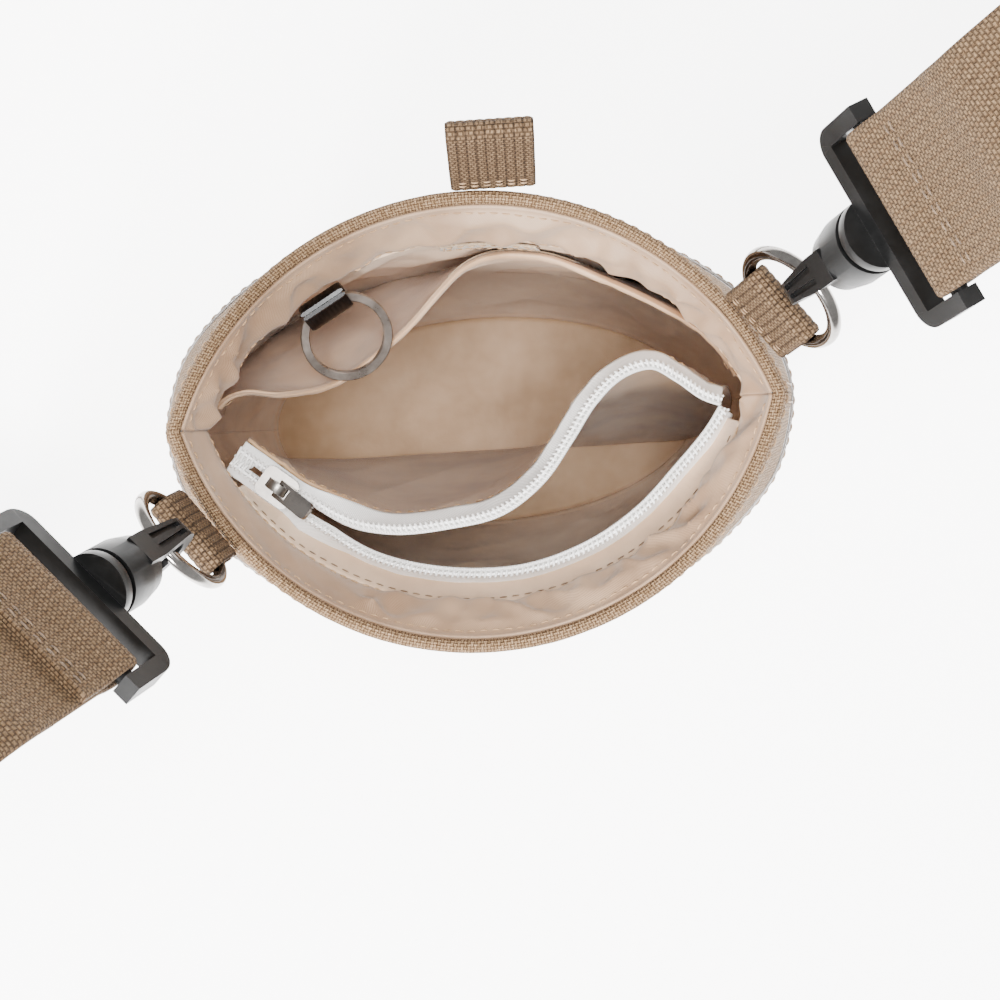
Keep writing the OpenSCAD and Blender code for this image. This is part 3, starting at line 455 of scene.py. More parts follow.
def canvas_material(name):
    """Polyester canvas woven two over two: beads of thread 0.8 mm apart, matt, with painted shade darkening
    the gaps between them.
    """
    t, s = material(name, specular_ior_level=0.3)
    uv = cloth_uv(t, 12.5)
    warp = add(t, "TexWave", {"Vector": uv, "Scale": ONE_WAVE, "Distortion": 0.4, "Detail": 1.0},
               bands_direction="X")
    weft = add(t, "TexWave", {"Vector": uv, "Scale": ONE_WAVE, "Distortion": 0.4, "Detail": 1.0},
               bands_direction="Y")
    check = add(t, "TexChecker", {"Vector": uv, "Scale": 1.0})
    height = add(t, "Mix", {"Factor": check, "A": warp, "B": weft}, "Result", data_type="FLOAT")
    fleck = add(t, "TexNoise", {"Vector": uv, "Scale": 0.6, "Detail": 3.0, "Roughness": 0.7})
    tone = add(t, "ValToRGB", {"Fac": fleck}, "Color",
               stops={0.32: "#7E6243", 0.52: colours().canvas, 0.72: "#B99C7C"})
    # Painted shade: the weave's low places, between the beads of thread, are darkened towards the gap colour.
    gaps = add(t, "ValToRGB", {"Fac": height}, "Color", stops={0.0: colours().canvas_gap_shade, 0.5: WHITE})
    woven = add(t, "Mix", {"Factor": 1.0, "A": tone, "B": gaps}, "Result", **MULTIPLY)
    finish_surface(t, s, woven, 0.86, height, 0.4 * MM)


def taffeta_material(name, code, deep, pale):
    """Polyester taffeta: a thin close twill with a dull sheen that brings up the folds.
    Its threads are drawn 0.4 mm apart so that the weave shows from close by, the twill's low lines a little
    darker with painted shade."""
    t, s = material(name, sheen_weight=0.25)
    uv = cloth_uv(t, 25.0)
    twill = add(t, "TexWave", {"Vector": uv, "Scale": 2 * ONE_WAVE, "Distortion": 0.5, "Detail": 1.0},
               bands_direction="DIAGONAL")
    place = add(t, "TexCoord", {}, "Object")
    cloud = add(t, "TexNoise", {"Vector": place, "Scale": 28.0, "Detail": 4.0, "Roughness": 0.6})
    tone = add(t, "ValToRGB", {"Fac": cloud}, "Color", stops={0.34: deep, 0.5: code, 0.68: pale})
    # Painted shade: the twill's low lines are darkened by a few percent.
    fine = add(t, "ValToRGB", {"Fac": twill}, "Color", stops={0.0: (0.96, 0.955, 0.95, 1), 0.6: WHITE})
    crease = add(t, "TexNoise", {"Vector": place, "Scale": 120.0, "Detail": 4.0, "Roughness": 0.6})
    thread = add(t, "Math", {0: twill, 1: 0.12}, "Value", operation="MULTIPLY")
    height = add(t, "Math", {0: thread, 1: crease}, "Value", operation="ADD")
    woven = add(t, "Mix", {"Factor": 1.0, "A": tone, "B": fine}, "Result", **MULTIPLY)
    finish_surface(t, s, woven, 0.48, height, 0.5 * MM, 0.6)


def webbing_material(name, code, deep, pale, ribs, phase, line):
    """Nylon webbing: rows of short weft beads 1.2 mm apart, each row half a bead on from the last,
    with paler worn threads, and painted shade that darkens the gaps between the beads and draws a dark line
    between the lengthwise ribs."""
    t, s = material(name, specular_ior_level=0.3)
    uv = cloth_uv(t, 1.0)
    jitter = add(t, "TexNoise", {"Vector": uv, "Scale": 5.0, "Detail": 2.0}, "Color")
    bent = add(t, "Mix", {"Factor": 0.03, "A": uv, "B": jitter}, "Result", data_type="VECTOR")
    beads = add(t, "TexBrick",
                {"Vector": bent, "Scale": 1.0, "Mortar Size": 0.025, "Mortar Smooth": 1.0,
                 "Brick Width": 0.117,
                 "Row Height": 0.085}, offset=0.5)
    rib = add(t, "TexWave", {"Vector": uv, "Scale": ONE_WAVE * ribs, "Phase Offset": phase},
              bands_direction="X")
    high = add(t, "Math", {0: 1.0, 1: beads}, "Value", operation="SUBTRACT")
    fleck = add(t, "TexNoise", {"Vector": uv, "Scale": 9.0, "Detail": 4.0, "Roughness": 0.75})
    tone = add(t, "ValToRGB", {"Fac": fleck}, "Color", stops={0.32: deep, 0.52: code, 0.74: pale})
    # Painted shade: the gaps between the beads, and a line between the lengthwise ribs as dark as line, are
    # darkened.
    gaps = add(t, "ValToRGB", {"Fac": high}, "Color", stops={0.0: (0.4, 0.36, 0.32, 1), 0.75: WHITE})
    lines = add(t, "ValToRGB", {"Fac": rib}, "Color",
                stops={0.0: (line, line * 0.93, line * 0.86, 1), 0.3: WHITE})
    for dark in (gaps, lines):
        tone = add(t, "Mix", {"Factor": 1.0, "A": tone, "B": dark}, "Result", **MULTIPLY)
    finish_surface(t, s, tone, 0.85, high, 0.4 * MM, 0.9)


def thread_material(name, code, deep):
    """Bonded polyester sewing thread: twisted, with a slight shine."""
    t, s = material(name, sheen_weight=0.2)
    fleck = add(t, "TexNoise", {"Vector": add(t, "TexCoord", {}, "Object"), "Scale": 900.0, "Detail": 2.0})
    tone = add(t, "ValToRGB", {"Fac": fleck}, "Color", stops={0.35: deep, 0.65: code})
    finish_surface(t, s, tone, 0.6, fleck, 0.05 * MM, 0.6)


def zip_tape_material(name):
    """White polyester zip tape: a close herringbone, matt, its low lines darkened with painted shade."""
    t, s = material(name, sheen_weight=0.2)
    rib = add(t, "TexWave", {"Vector": cloth_uv(t, 12.0), "Scale": 2 * ONE_WAVE, "Distortion": 0.5},
               bands_direction="DIAGONAL")
    # Painted shade: the herringbone's low lines are darker.
    tone = add(t, "ValToRGB", {"Fac": rib}, "Color", stops={0.0: "#DDDAD7", 0.5: colours().zip_white})
    finish_surface(t, s, tone, 0.75, rib, 0.2 * MM, 0.7)


def zip_coil_material(name):
    """White nylon filament: smooth and slightly glossy."""
    t, s = material(name, coat_weight=0.15)
    fleck = add(t, "TexNoise", {"Vector": add(t, "TexCoord", {}, "Object"), "Scale": 500.0, "Detail": 2.0})
    tone = add(t, "ValToRGB", {"Fac": fleck}, "Color", stops={0.3: "#E2DFDB", 0.7: "#FAF9F7"})
    finish_surface(t, s, tone, 0.36, fleck, 0.03 * MM, 0.4)


def satin_black_material(name, code, rough):
    """A satin black skin with a fine orange peel, lighter grey in patches on its sharp edges: the
    electro-coat of die-cast zinc, and at a lower roughness the key band's close black tape."""
    t, s = material(name, specular_ior_level=0.32)
    place = add(t, "TexCoord", {}, "Object")
    peel = add(t, "TexNoise", {"Vector": place, "Scale": 420.0, "Detail": 3.0})
    patch_noise = add(t, "TexNoise", {"Vector": place, "Scale": 60.0, "Detail": 6.0, "Roughness": 0.7})
    # Sharp edges turn a lighter grey, in patches of noise.
    edge = add(t, "NewGeometry", {}, "Pointiness")
    grey_edge_mask = add(t, "Math", {0: edge, 1: patch_noise}, "Value", operation="MULTIPLY")
    tone = add(t, "ValToRGB", {"Fac": grey_edge_mask}, "Color",
               stops={0.28: code, 0.42: "#171717", 0.55: "#3A3938"})
    matt = add(t, "MapRange",
               {"Value": patch_noise, "From Min": 0.3, "From Max": 0.7,
                "To Min": rough * 0.85, "To Max": rough * 1.3},
               "Result")
    finish_surface(t, s, tone, matt, peel, 0.05 * MM, 0.4)


def plated_steel_material(name, code, dark, rough):
    """Nickel-plated steel: bright metal with cloudy tarnish and fine scratches."""
    t, s = material(name, metallic=1.0)
    place = add(t, "TexCoord", {}, "Object")
    cloud = add(t, "TexNoise", {"Vector": place, "Scale": 80.0, "Detail": 5.0, "Roughness": 0.65})
    grain = add(t, "TexNoise", {"Vector": place, "Scale": 1100.0, "Detail": 2.0})
    tone = add(t, "ValToRGB", {"Fac": cloud}, "Color", stops={0.3: dark, 0.65: code})
    matt = add(t, "MapRange",
               {"Value": cloud, "From Min": 0.3, "From Max": 0.7,
                "To Min": rough * 0.8, "To Max": rough * 1.3},
               "Result")
    finish_surface(t, s, tone, matt, grain, 0.03 * MM, 0.3)


def reflective_material(name):
    """Retroreflective tape: grey glass beads under a clear film, in square cells 3.8 mm across."""
    t, s = material(name, coat_weight=0.4)
    uv = cloth_uv(t, 2.6)
    cells = add(t, "TexVoronoi", {"Vector": uv, "Scale": 1.0, "Randomness": 0.0}, "Distance",
                feature="DISTANCE_TO_EDGE")
    beads = add(t, "TexNoise", {"Vector": uv, "Scale": 40.0, "Detail": 2.0})
    tone = add(t, "ValToRGB", {"Fac": cells}, "Color", stops={0.0: "#7F7975", 0.09: "#A29B96"})
    fleck = add(t, "ValToRGB", {"Fac": beads}, "Color", stops={0.3: (0.9, 0.9, 0.9, 1), 0.7: WHITE})
    beaded = add(t, "Mix", {"Factor": 1.0, "A": tone, "B": fleck}, "Result", **MULTIPLY)
    finish_surface(t, s, beaded, 0.38, cells, 0.2 * MM, 0.5)


def touch_material(name):
    """Nylon touch-and-close tape: a mat of tiny loops, matt and furry."""
    t, s = material(name, sheen_weight=0.5)
    place = add(t, "TexCoord", {}, "Object")
    fur = add(t, "TexNoise", {"Vector": place, "Scale": 1300.0, "Detail": 3.0, "Roughness": 0.8})
    tone = add(t, "ValToRGB", {"Fac": fur}, "Color", stops={0.3: "#8A7359", 0.7: "#BBA58A"})
    finish_surface(t, s, tone, 0.95, fur, 0.4 * MM)


def floor_material(name):
    """Matt white seamless paper with a trace of tooth, which glows round the pouch as if lit from below:
    painted light, strongest near the middle and gone by 1.3 m.
    """
    t, s = material(name, emission_color=WHITE)
    place = add(t, "TexCoord", {}, "Object")
    tooth = add(t, "TexNoise", {"Vector": place, "Scale": 300.0, "Detail": 2.0})
    # Painted light: the floor glows, though no lamp is there, strongest within 0.25 m of the middle and gone
    # by 1.3 m.
    away = add(t, "VectorMath", {0: place}, "Value", operation="LENGTH")
    glow = add(t, "MapRange",
               {"Value": away, "From Min": 0.25, "From Max": 1.3, "To Min": 5.5, "To Max": 0.0}, "Result",
               interpolation_type="SMOOTHSTEP")
    t.links.new(glow, s.inputs["Emission Strength"])
    tone = add(t, "ValToRGB", {"Fac": tooth}, "Color", stops={0.3: colours().floor, 0.7: "#FBFAF9"})
    finish_surface(t, s, tone, 0.9, tooth, 0.05 * MM, 0.2)


def finish(name):
    """A finish by name, made once."""
    c = colours()
    makers = {
        "woven_polyester_canvas": (canvas_material,),
        # The lining is painted lighter than its cloth, as painted light for the pouch's inside.
        "lining_taffeta": (taffeta_material, c.taffeta, "#BB9A7A", "#DABD9F"),
        "channel_taffeta": (taffeta_material, "#9C7E63", "#88694E", "#AE9074"),
        # A shaded copy of the lining: its colour darkened to about 60% with painted shade, for the floor deep
        # inside the pouch.
        "floor_taffeta": (taffeta_material, "#A98866", "#94734F", "#B99877"),
        "pocket_taffeta": (taffeta_material, "#C09C7A", "#A98563", "#CFAE8E"),
        "divider_taffeta": (taffeta_material, "#9F7B55", "#886442", "#B08D67"),
        # The last number of a webbing sets how dark its painted shade line between the ribs is.
        "tab_webbing": (webbing_material, c.webbing, "#55402B", "#93795C", 4.615, math.pi, 0.42),
        "strap_nylon": (webbing_material, "#6D573F", "#4F3D29", "#8B7152", 4.267, 0.0, 0.85),
        "sewing_thread": (thread_material, c.thread, "#8E6F4E"),
        "strap_thread": (thread_material, "#7A6147", "#574330"),
        "white_thread": (thread_material, "#F4F2EF", "#D9D5D0"),
        "woven_zip_tape": (zip_tape_material,),
        "nylon_zip_coil": (zip_coil_material,),
        "black_coated_zinc": (satin_black_material, c.black, 0.4),
        "black_nylon_tape": (satin_black_material, "#080607", 0.3),
        "gunmetal_wire": (plated_steel_material, "#A7A39F", "#6B6764", 0.14),
        "dark_nickel": (plated_steel_material, "#8E8883", "#4E4945", 0.16),
        "bright_nickel": (plated_steel_material, "#8A8580", "#5A5652", 0.3),
        "worn_nickel": (plated_steel_material, "#A79B92", "#5F564F", 0.28),
        "tempered_steel": (plated_steel_material, "#B9B6B2", "#7C7975", 0.3),
        "retroreflective_tape": (reflective_material,),
        "touch_and_close_nylon": (touch_material,),
        "seamless_paper": (floor_material,),
    }
    if name not in bpy.data.materials:
        maker, *values = makers[name]
        maker(name, *values)
    return bpy.data.materials[name]


# ------------------------------------------------------------ lines and pieces that sewn cloth shares
def wall_line(side, z, depth, inside=False, k0=0.0, k1=1.0, n=120):
    """A line along the wall with its normal, at depth(side, k, z)."""
    out = []
    for i in range(n + 1):
        k = mix(k0, k1, i / n)
        normal = outward(side, min(max(k, 0.01), 0.99), z) * (-1 if inside else 1)
        out.append((wall(side, k, z, depth(side, k, z)), normal))
    return out


def wall_cloth(name, side, depth, low, high, grid, size, inside=False, crowd=1.0):
    """Cloth on the wall from low to high, its grid and size given across and up. A crowd above 1 sets
    its rows closer near the foot."""
    def place(u, v):
        z = mix(low, high, v**crowd)
        return wall(side, u, z, depth(side, u, z))

    return cloth(name, *grid, place, *size, flip=(side == FRONT) != inside)


def canvas_depth(side, k, z):
    """The canvas stands proud in soft folds, so its depth is below nought."""
    ends = ease(z / 18) * ease((POUCH_H - z) / 26) * ease(k / 0.08) * ease((1 - k) / 0.08)
    return -ends * (1.6 * soft(k * 3.1 * side, z / 62, 3.3) + 0.9 * soft(k * 9, z / 24, side * 7.3))


def tape_depth(side, k, z):
    return canvas_depth(side, k, z) - TAPE_PROUD


def channel_depth(side, k, z):
    return channel_off(z) + LINING_T + pucker(side, k, z)


def lining_depth(side, k, z):
    ends = ease(k / 0.05) * ease((1 - k) / 0.05)
    return lining_off(z) + LINING_T + ends * max(-0.2, lining_fold(side, k, z))


def pucker(side, k, z):
    """The channel band's gathers: puffed between its two stitch rows, and tight under the rim."""
    puff = ease((z - BAND_BOTTOM - 1.2) / 3.5) * ease((BAND_TOP - 0.8 - z) / 3)
    ridge = 1 - 2.6 * abs(soft(k * 12 + (z - BAND_TOP) / 11, z / 26, 11.3 + side))
    gather = puff * max(-0.3, 1.1 + 2.2 * ridge + 1.5 * soft(k * 27 - z / 9, z / 14, 5.3 + side))
    scallop = 1.7 if side == BACK else 0.9
    wave = scallop * soft(k * 22, 0, 15.0 + side) * ease((BAND_BOTTOM + 6 - z) / 5)
    slider_room = 1 - 0.85 * ease((k - 0.66) / 0.05) * (side == FRONT)
    return (gather + wave) * slider_room - 0.35 * ease((z - BAND_TOP + 2) / 2)


def lining_fold(side, k, z):
    """Depth of the lining's folds: slanting creases that run down from the channel band."""
    depth = sizes().fold_depth / MM
    free = ease((BAND_BOTTOM - z) / 20) * ease((z - 4) / 24)
    long_fold = 1 - abs(soft(k * 5.5 + z / 90, z / 75, 21.0 + side)) * 2
    crease = 1 - abs(soft(k * 13 - z / 50, z / 30, 31.0 + side)) * 2.6
    gather = 0.35 * soft(k * 44, 0, 41.0 + side) * ease((z - 118) / 30)
    return free * depth * (0.75 * long_fold + 0.3 * crease) + gather


class PieceMaker:
    """What every operator of this add-on shares."""
    bl_options = {"REGISTER", "UNDO"}


# ------------------------------------------------------------ zip pocket forms
def placed(shares):
    return [Vector((x * HALF_MOUTH, y * MOUTH_FRONT)) for x, y in shares]


ZIP_START, ZIP_FORK, ZIP_END = (-0.82, -0.12), (-0.62, -0.33), (0.84, -0.02)
BACK_RUN = placed([ZIP_FORK, (-0.47, -0.42), (-0.30, -0.47), (-0.12, -0.46), (0.05, -0.42), (0.19, -0.30),
                   (0.29, -0.14), (0.38, 0.02), (0.48, 0.13), (0.59, 0.165), (0.68, 0.10),
                   (0.76, 0.02), ZIP_END])
FRONT_RUN = placed([ZIP_FORK, (-0.53, -0.46), (-0.38, -0.59), (-0.20, -0.665), (0.0, -0.695), (0.18, -0.675),
                    (0.37, -0.59), (0.53, -0.46), (0.66, -0.30), (0.77, -0.15), ZIP_END])
SHUT_A, SHUT_B = placed([ZIP_START, ZIP_FORK])
SHUT_WAY = (SHUT_B - SHUT_A).normalized()
SHUT_SIDE = Vector((-SHUT_WAY.y, SHUT_WAY.x))
COIL_OFF = COIL_GAP / 2 + COIL_R
COIL_RINGS, SHUT_RINGS = 46, 6
TAPE_T, TAPE_UNDER, TAPE_SHUT_W = 0.6, COIL_R + 0.15, 3.8
DIVIDER_FOOT = LINING_Z + LINING_T + 0.3
DIVIDER_Y = -0.2 * MOUTH_FRONT


def run_t(i):
    return mix(0.02, 0.97, (i - SHUT_RINGS) / (COIL_RINGS - SHUT_RINGS))


def across_run(run, i):
    if i < SHUT_RINGS - 1:
        return SHUT_SIDE
    t = max(0.02, run_t(i))
    h = (spline(run, min(1, t + 0.004)) - spline(run, max(0, t - 0.004))).normalized()
    open_side = Vector((-h.y, h.x))
    return SHUT_SIDE.lerp(open_side, ease(i - SHUT_RINGS + 1)).normalized()


def coil_spot(side, run, i):
    n = across_run(run, i)
    shut = i < SHUT_RINGS
    if shut:
        p = SHUT_A.lerp(SHUT_B, i / SHUT_RINGS)
        q = p + n * side * COIL_OFF
    else:
        q = spline(run, run_t(i)) + n * side * COIL_OFF * (1 - ease(run_t(i) / 0.12))
    return Vector((q.x, q.y, ZIP_Z))


def tape_spot(side, run, i, u, down):
    c = coil_spot(side, run, i)
    n = across_run(run, i) * side
    opened = ease((i - SHUT_RINGS + 1) / 7)
    a = math.radians(60 * opened)
    s = mix(-COIL_R, mix(TAPE_SHUT_W, TAPE_W, opened) - COIL_R, u)
    out = s * math.cos(a) - down * math.sin(a)
    return Vector((c.x + n.x * out, c.y + n.y * out, c.z - s * math.sin(a) - down * math.cos(a)))


def divider_spot(i, u, lift):
    e = tape_spot(BACK, BACK_RUN, i, 1, TAPE_UNDER + TAPE_T)
    n = across_run(BACK_RUN, i)
    top = e.z - 0.3
    z = mix(DIVIDER_FOOT, top, u)

    def span(h):
        return half_width(h) - lining_off(h) - LINING_T - 0.5

    share = (e.x + n.x * lift) / span(top)
    return Vector((share * span(z), mix(DIVIDER_Y + lift, e.y + n.y * lift, ease(z / top)), z))


# ------------------------------------------------------------ slip pocket and key holder forms
HEM_SHARES = (0, 0.02, 0.06, 0.06, 0.02, 0.07, 0.34, 0.46, 0.36, 0.15, 0)
SLIP_FOOT, SLIP_K, SLIP_IN = 0.36 * POUCH_H, 0.035, 0.6


def hem_depth(t):
    return MOUTH_BACK * spline(HEM_SHARES, t)


def slip_spot(t, u, lift):
    z = mix(SLIP_FOOT, SLIP_Z - 0.3 * hem_depth(t), u)
    p = wall(BACK, mix(SLIP_K, 1 - SLIP_K, t), z, lining_off(z) + LINING_T + SLIP_IN + lift)
    return p - Vector((0, hem_depth(t) * ease(u), 0))


KEY_R, KEY_BAND_W, KEY_DROP, KEY_SLOPE = 10.4, 12.0, 8.0, 25
KEY_WIRE_W, KEY_WIRE_H = 2.2, 1.8
KEY_BOW = (KEY_R - math.sqrt(KEY_R**2 - (KEY_BAND_W / 2) ** 2)) / 2
KEY_HOLE = KEY_BOW + math.hypot(KEY_WIRE_W, KEY_WIRE_H) / 2 + 0.15
KEY_TOP = BAND_BOTTOM - 0.5
# the split ring's section: out from the wire's middle in mm, and share of its half thickness
KEY_WIRE_FORM = [(-1.1, -0.6), (-0.9, -1), (0.9, -1), (1.1, -0.6),
                 (1.1, 0.6), (0.9, 1), (-0.9, 1), (-1.1, 0.6)]


def key_frame():
    """The key holder's frame: X along the wall, Y into it."""
    off = lining_off(BAND_BOTTOM - 0.2) + LINING_T + KEY_HOLE + 1.4
    along = wall(BACK, 0.715, KEY_TOP, 12) - wall(BACK, 0.755, KEY_TOP, 12)
    middle = Matrix.Translation(wall(BACK, 0.735, KEY_TOP, off))
    return middle @ Matrix.Rotation(math.atan2(along.y, along.x), 4, "Z")


# ------------------------------------------------------------ side fittings
# side of the rim, place along it, turn of the tab, turn of the hook, twist of the hook, rise of the tab
LEFT_SIDE = (FRONT, 0.88, 217, 211, 12, 80)
RIGHT_SIDE = (BACK, 0.093, 38, 37, -12, 68)
RING_R, WIRE_R, HOOK_RISE = 12.4, 1.6, 66
SEAT = 15.5 - 0.23 + math.sqrt((RING_R - WIRE_R) ** 2 - (TAB_W / 2) ** 2) + RING_R
WEB_X, TAIL_X, STRAP_END_X = 44.0, 60.0, 68.0
FOLD_IN = 2.1


def fitting_root(s):
    return wall(s[0], s[1], BAND_TOP, -TAB_T - 0.05 - 0.45)


def tab_frame(s):
    return (Matrix.Translation(fitting_root(s)) @ turned(s[2], "Z")
            @ turned(-s[5], "Y"))


def hook_frame(s):
    seat = tab_frame(s) @ Vector((SEAT, 0, 0))
    return (Matrix.Translation(seat) @ turned(s[3], "Z")
            @ turned(-HOOK_RISE, "Y") @ turned(s[4], "X"))


# ------------------------------------------------------------ placing
def nodes_dressed(finish_name, *names, bevel=0.0):
    """Gives CAD nodes their finish, a live weld, and a live bevel in mm where they are rigid."""
    for name in names:
        o = bpy.data.objects[name]
        o.data.materials.clear()
        o.data.materials.append(finish(finish_name))
        o.modifiers.new("Weld", "WELD").merge_threshold = SAME_POINT
        if bevel:
            m = o.modifiers.new("Bevel", "BEVEL")
            m.width = bevel * MM
            m.segments = 2
            m.limit_method = "ANGLE"
            m.angle_limit = math.radians(32)
            m.harden_normals = False


def path_stations(frame_of, points):
    """Stations of a band that follows points (along, height) in a frame whose Y is its width."""
    turn = frame_of.to_3x3()
    out = []
    for i, p in enumerate(points):
        a, b = points[max(0, i - 1)], points[min(len(points) - 1, i + 1)]
        t = Vector((b[0] - a[0], b[1] - a[1])).normalized()
        place, width, up = Vector((p[0], 0, p[1])), Vector((0, 1, 0)), Vector((t.y, 0, -t.x))
        out.append((frame_of @ place, turn @ width, turn @ up))
    return out


def smooth_path(corners):
    """A path in steps of 0.7 mm through (along, height) corners, for a band to follow."""
    corners = [Vector(c) for c in corners]
    out = []
    for a in range(len(corners) - 1):
        n = max(1, round((corners[a + 1] - corners[a]).length / 0.7))
        for i in range(n):
            out.append(spline(corners, (a + i / n) / (len(corners) - 1)))
    return out + [corners[-1]]


def arc(centre, radius, start, end, n=14):
    """Points of an arc in the (along, height) plane, its angles in degrees."""
    return [(centre[0] + radius * math.cos(math.radians(mix(start, end, i / n))),
             centre[1] + radius * math.sin(math.radians(mix(start, end, i / n)))) for i in range(n + 1)]


def straight(a, b):
    """Points every 1 mm from a up to b, b left out."""
    n = max(1, round(math.dist(a, b)))
    return [(mix(a[0], b[0], i / n), mix(a[1], b[1], i / n)) for i in range(n)]


def band_lines(frame_of, marks, lift):
    """Stitch lines on both faces of a band: marks are ((along, across), (along, across)) ends."""
    lines, n = [], 6
    for sign in (1, -1):
        normal = frame_of.to_3x3() @ Vector((0, 0, sign))
        for (a0, c0), (a1, c1) in marks:
            lines.append([(frame_of @ Vector((mix(a0, a1, i / n), mix(c0, c1, i / n), lift * sign)), normal)
                          for i in range(n + 1)])
    return lines


# ------------------------------------------------------------ operators
CAMERA_PLACE, CAMERA_TURN = (0.010052, -0.004888, 0.645), (-1.96526, 0.561375, -3.698087)


class POUCH_OT_stage(bpy.types.Operator, PieceMaker):
    """Sets the camera, the pale floor and the soft lights"""
    bl_idname = "pouch.stage"
    bl_label = "Stage"

    def execute(self, context):
        stage = context.scene.pouch_stage
        clear_selection()
        bpy.ops.object.camera_add(location=CAMERA_PLACE, rotation=[math.radians(a) for a in CAMERA_TURN])
        camera = context.object
        camera.name = "stage_camera"
        camera.data.lens = stage.lens
        camera.data.sensor_width = 36
        camera.data.clip_start = 0.01
        context.scene.camera = camera
        bpy.ops.mesh.primitive_plane_add(size=40, location=(0, 0, 0))
        floor = context.object
        floor.name = "stage_floor"
        floor.data.materials.append(finish("seamless_paper"))
        for name, place, aim, size, power in (
            ("soft_top", (0.05, 0.0, 1.5), (0, 0, 0), 0.5, stage.key_power),
            ("soft_key", (-0.55, -0.75, 0.95), (0, 0, 0.1), 0.4, stage.key_power * 1.3),
            ("soft_fill", (0.8, 0.6, 1.2), (0, 0, 0.1), 1.0, stage.key_power * 0.2),
        ):
            turn = (Vector(aim) - Vector(place)).to_track_quat("-Z", "Y").to_euler()
            bpy.ops.object.light_add(type="AREA", location=place, rotation=turn)
            light = context.object
            light.name = name
            light.data.shape = "DISK"
            light.data.size = size
            light.data.energy = power
        world = bpy.data.worlds.new("pale_studio")
        world.use_nodes = True
        world.node_tree.nodes["Background"].inputs["Color"].default_value = WHITE
        world.node_tree.nodes["Background"].inputs["Strength"].default_value = 0.75
        context.scene.world = world
        return {"FINISHED"}


def hook_stop(s, x, lift):
    f = hook_frame(s)
    p, w = f @ Vector((x, 0, lift)), f.to_3x3() @ Vector((0, 1, 0))
    return (*p, *w)


EDGE_Z, SLIDE_Z = STRAP_W / 2 + 0.5, STRAP_W / 2 + 5.4


def strap_stops(side):
    if side == "left":
        e, s = EDGE_Z, SLIDE_Z
        return [hook_stop(LEFT_SIDE, STRAP_END_X + 0.7, -STRAP_T / 2),
                hook_stop(LEFT_SIDE, STRAP_END_X + 14, -STRAP_T / 2),
                (-112, -52, 279, 0.5, -0.8, 0), (-138, -68, 270, 0.5, -0.8, 0),
                (-158, -80, 225, 0.4, -0.9, 0), (-166, -84, 160, 0.2, -0.9, -0.2),
                (-170, -80, 95, 0.0, -0.8, -0.6), (-173, -62, 48, 0.0, -0.4, -0.9),
                (-175, -34, e + 5, 0, 0, -1),
                (-177, 4, e + 0.5, 0, 0, -1), (-177, 48, e, 0, 0, -1), (-171, 96, e, 0, 0, -1),
                (-148, 146, e, 0, 0, -1), (-105, 184, e, 0, 0, -1), (-50, 202, e + 2, 0, 0, -1),
                (0, 206, s, 0, 0, -1), (40, 206, s, 0, 0, -1)]
    e, s = EDGE_Z, SLIDE_Z
    return [hook_stop(RIGHT_SIDE, STRAP_END_X + 0.7, 0), hook_stop(RIGHT_SIDE, STRAP_END_X + 14, 0),
            (128, 62, 277, -0.6, 0.8, 0.1), (154, 80, 266, -0.5, 0.8, 0.1), (172, 92, 222, -0.4, 0.9, 0.1),
            (180, 98, 160, -0.2, 0.9, 0.3), (184, 104, 95, 0.0, 0.8, 0.6), (184, 114, 48, 0.0, 0.4, 0.9),
            (180, 132, e + 5, 0, 0, 1), (170, 154, e + 0.5, 0, 0, 1), (153, 175, e + 0.3, 0, 0, 1),
            (130, 193, e + 1, 0, 0, 1),
            (106, 203, s - 1, 0, 0, 1), (80, 206, s, 0, 0, 1), (40, 206, s, 0, 0, 1)]


def strap_stations(stops, end):
    """Stations along a strap: (middle, width direction, up direction), in mm."""
    points = [Vector(s[:3]) for s in stops]
    widths = [Vector(s[3:]) for s in stops]
    out = []
    n = 12 * (len(stops) - 1)
    for i in range(n + 1):
        t = min(end, i / n)
        p = spline(points, t)
        along = (spline(points, min(1, t + 0.004)) - spline(points, max(0, t - 0.004))).normalized()
        w = spline(widths, t)
        w = (w - along * w.dot(along)).normalized()
        out.append((p, w, along.cross(w)))
    return out


class POUCH_OT_strap(bpy.types.Operator, PieceMaker):
    """Makes both lengths of the shoulder strap and finishes their adjuster"""
    bl_idname = "pouch.strap"
    bl_label = "Shoulder strap"

    def execute(self, context):
        nodes_dressed("black_coated_zinc", "strap_adjuster", bevel=0.6)
        for side, end in (("left", 1.0), ("right", 0.998)):
            stations = strap_stations(strap_stops(side), end)
            if side == "left":
                o = webbing("strap_length_left", stations, STRAP_W, STRAP_T, 16, 0.04)
            else:
                upper = [(p + n * STRAP_T / 2, w, n) for p, w, n in stations]
                lower = [(p - n * STRAP_T / 2, w, n) for p, w, n in stations]
                o = webbing("strap_length_right", upper, STRAP_W, STRAP_T - 0.04, 16, 0.04)
                join(o, webbing("under_layer", lower, STRAP_W, STRAP_T - 0.04, 16, 0.04))
            dress(o, "strap_nylon", None, "strap_webbing", f"strap_{side}_length")
            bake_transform(o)
        return {"FINISHED"}


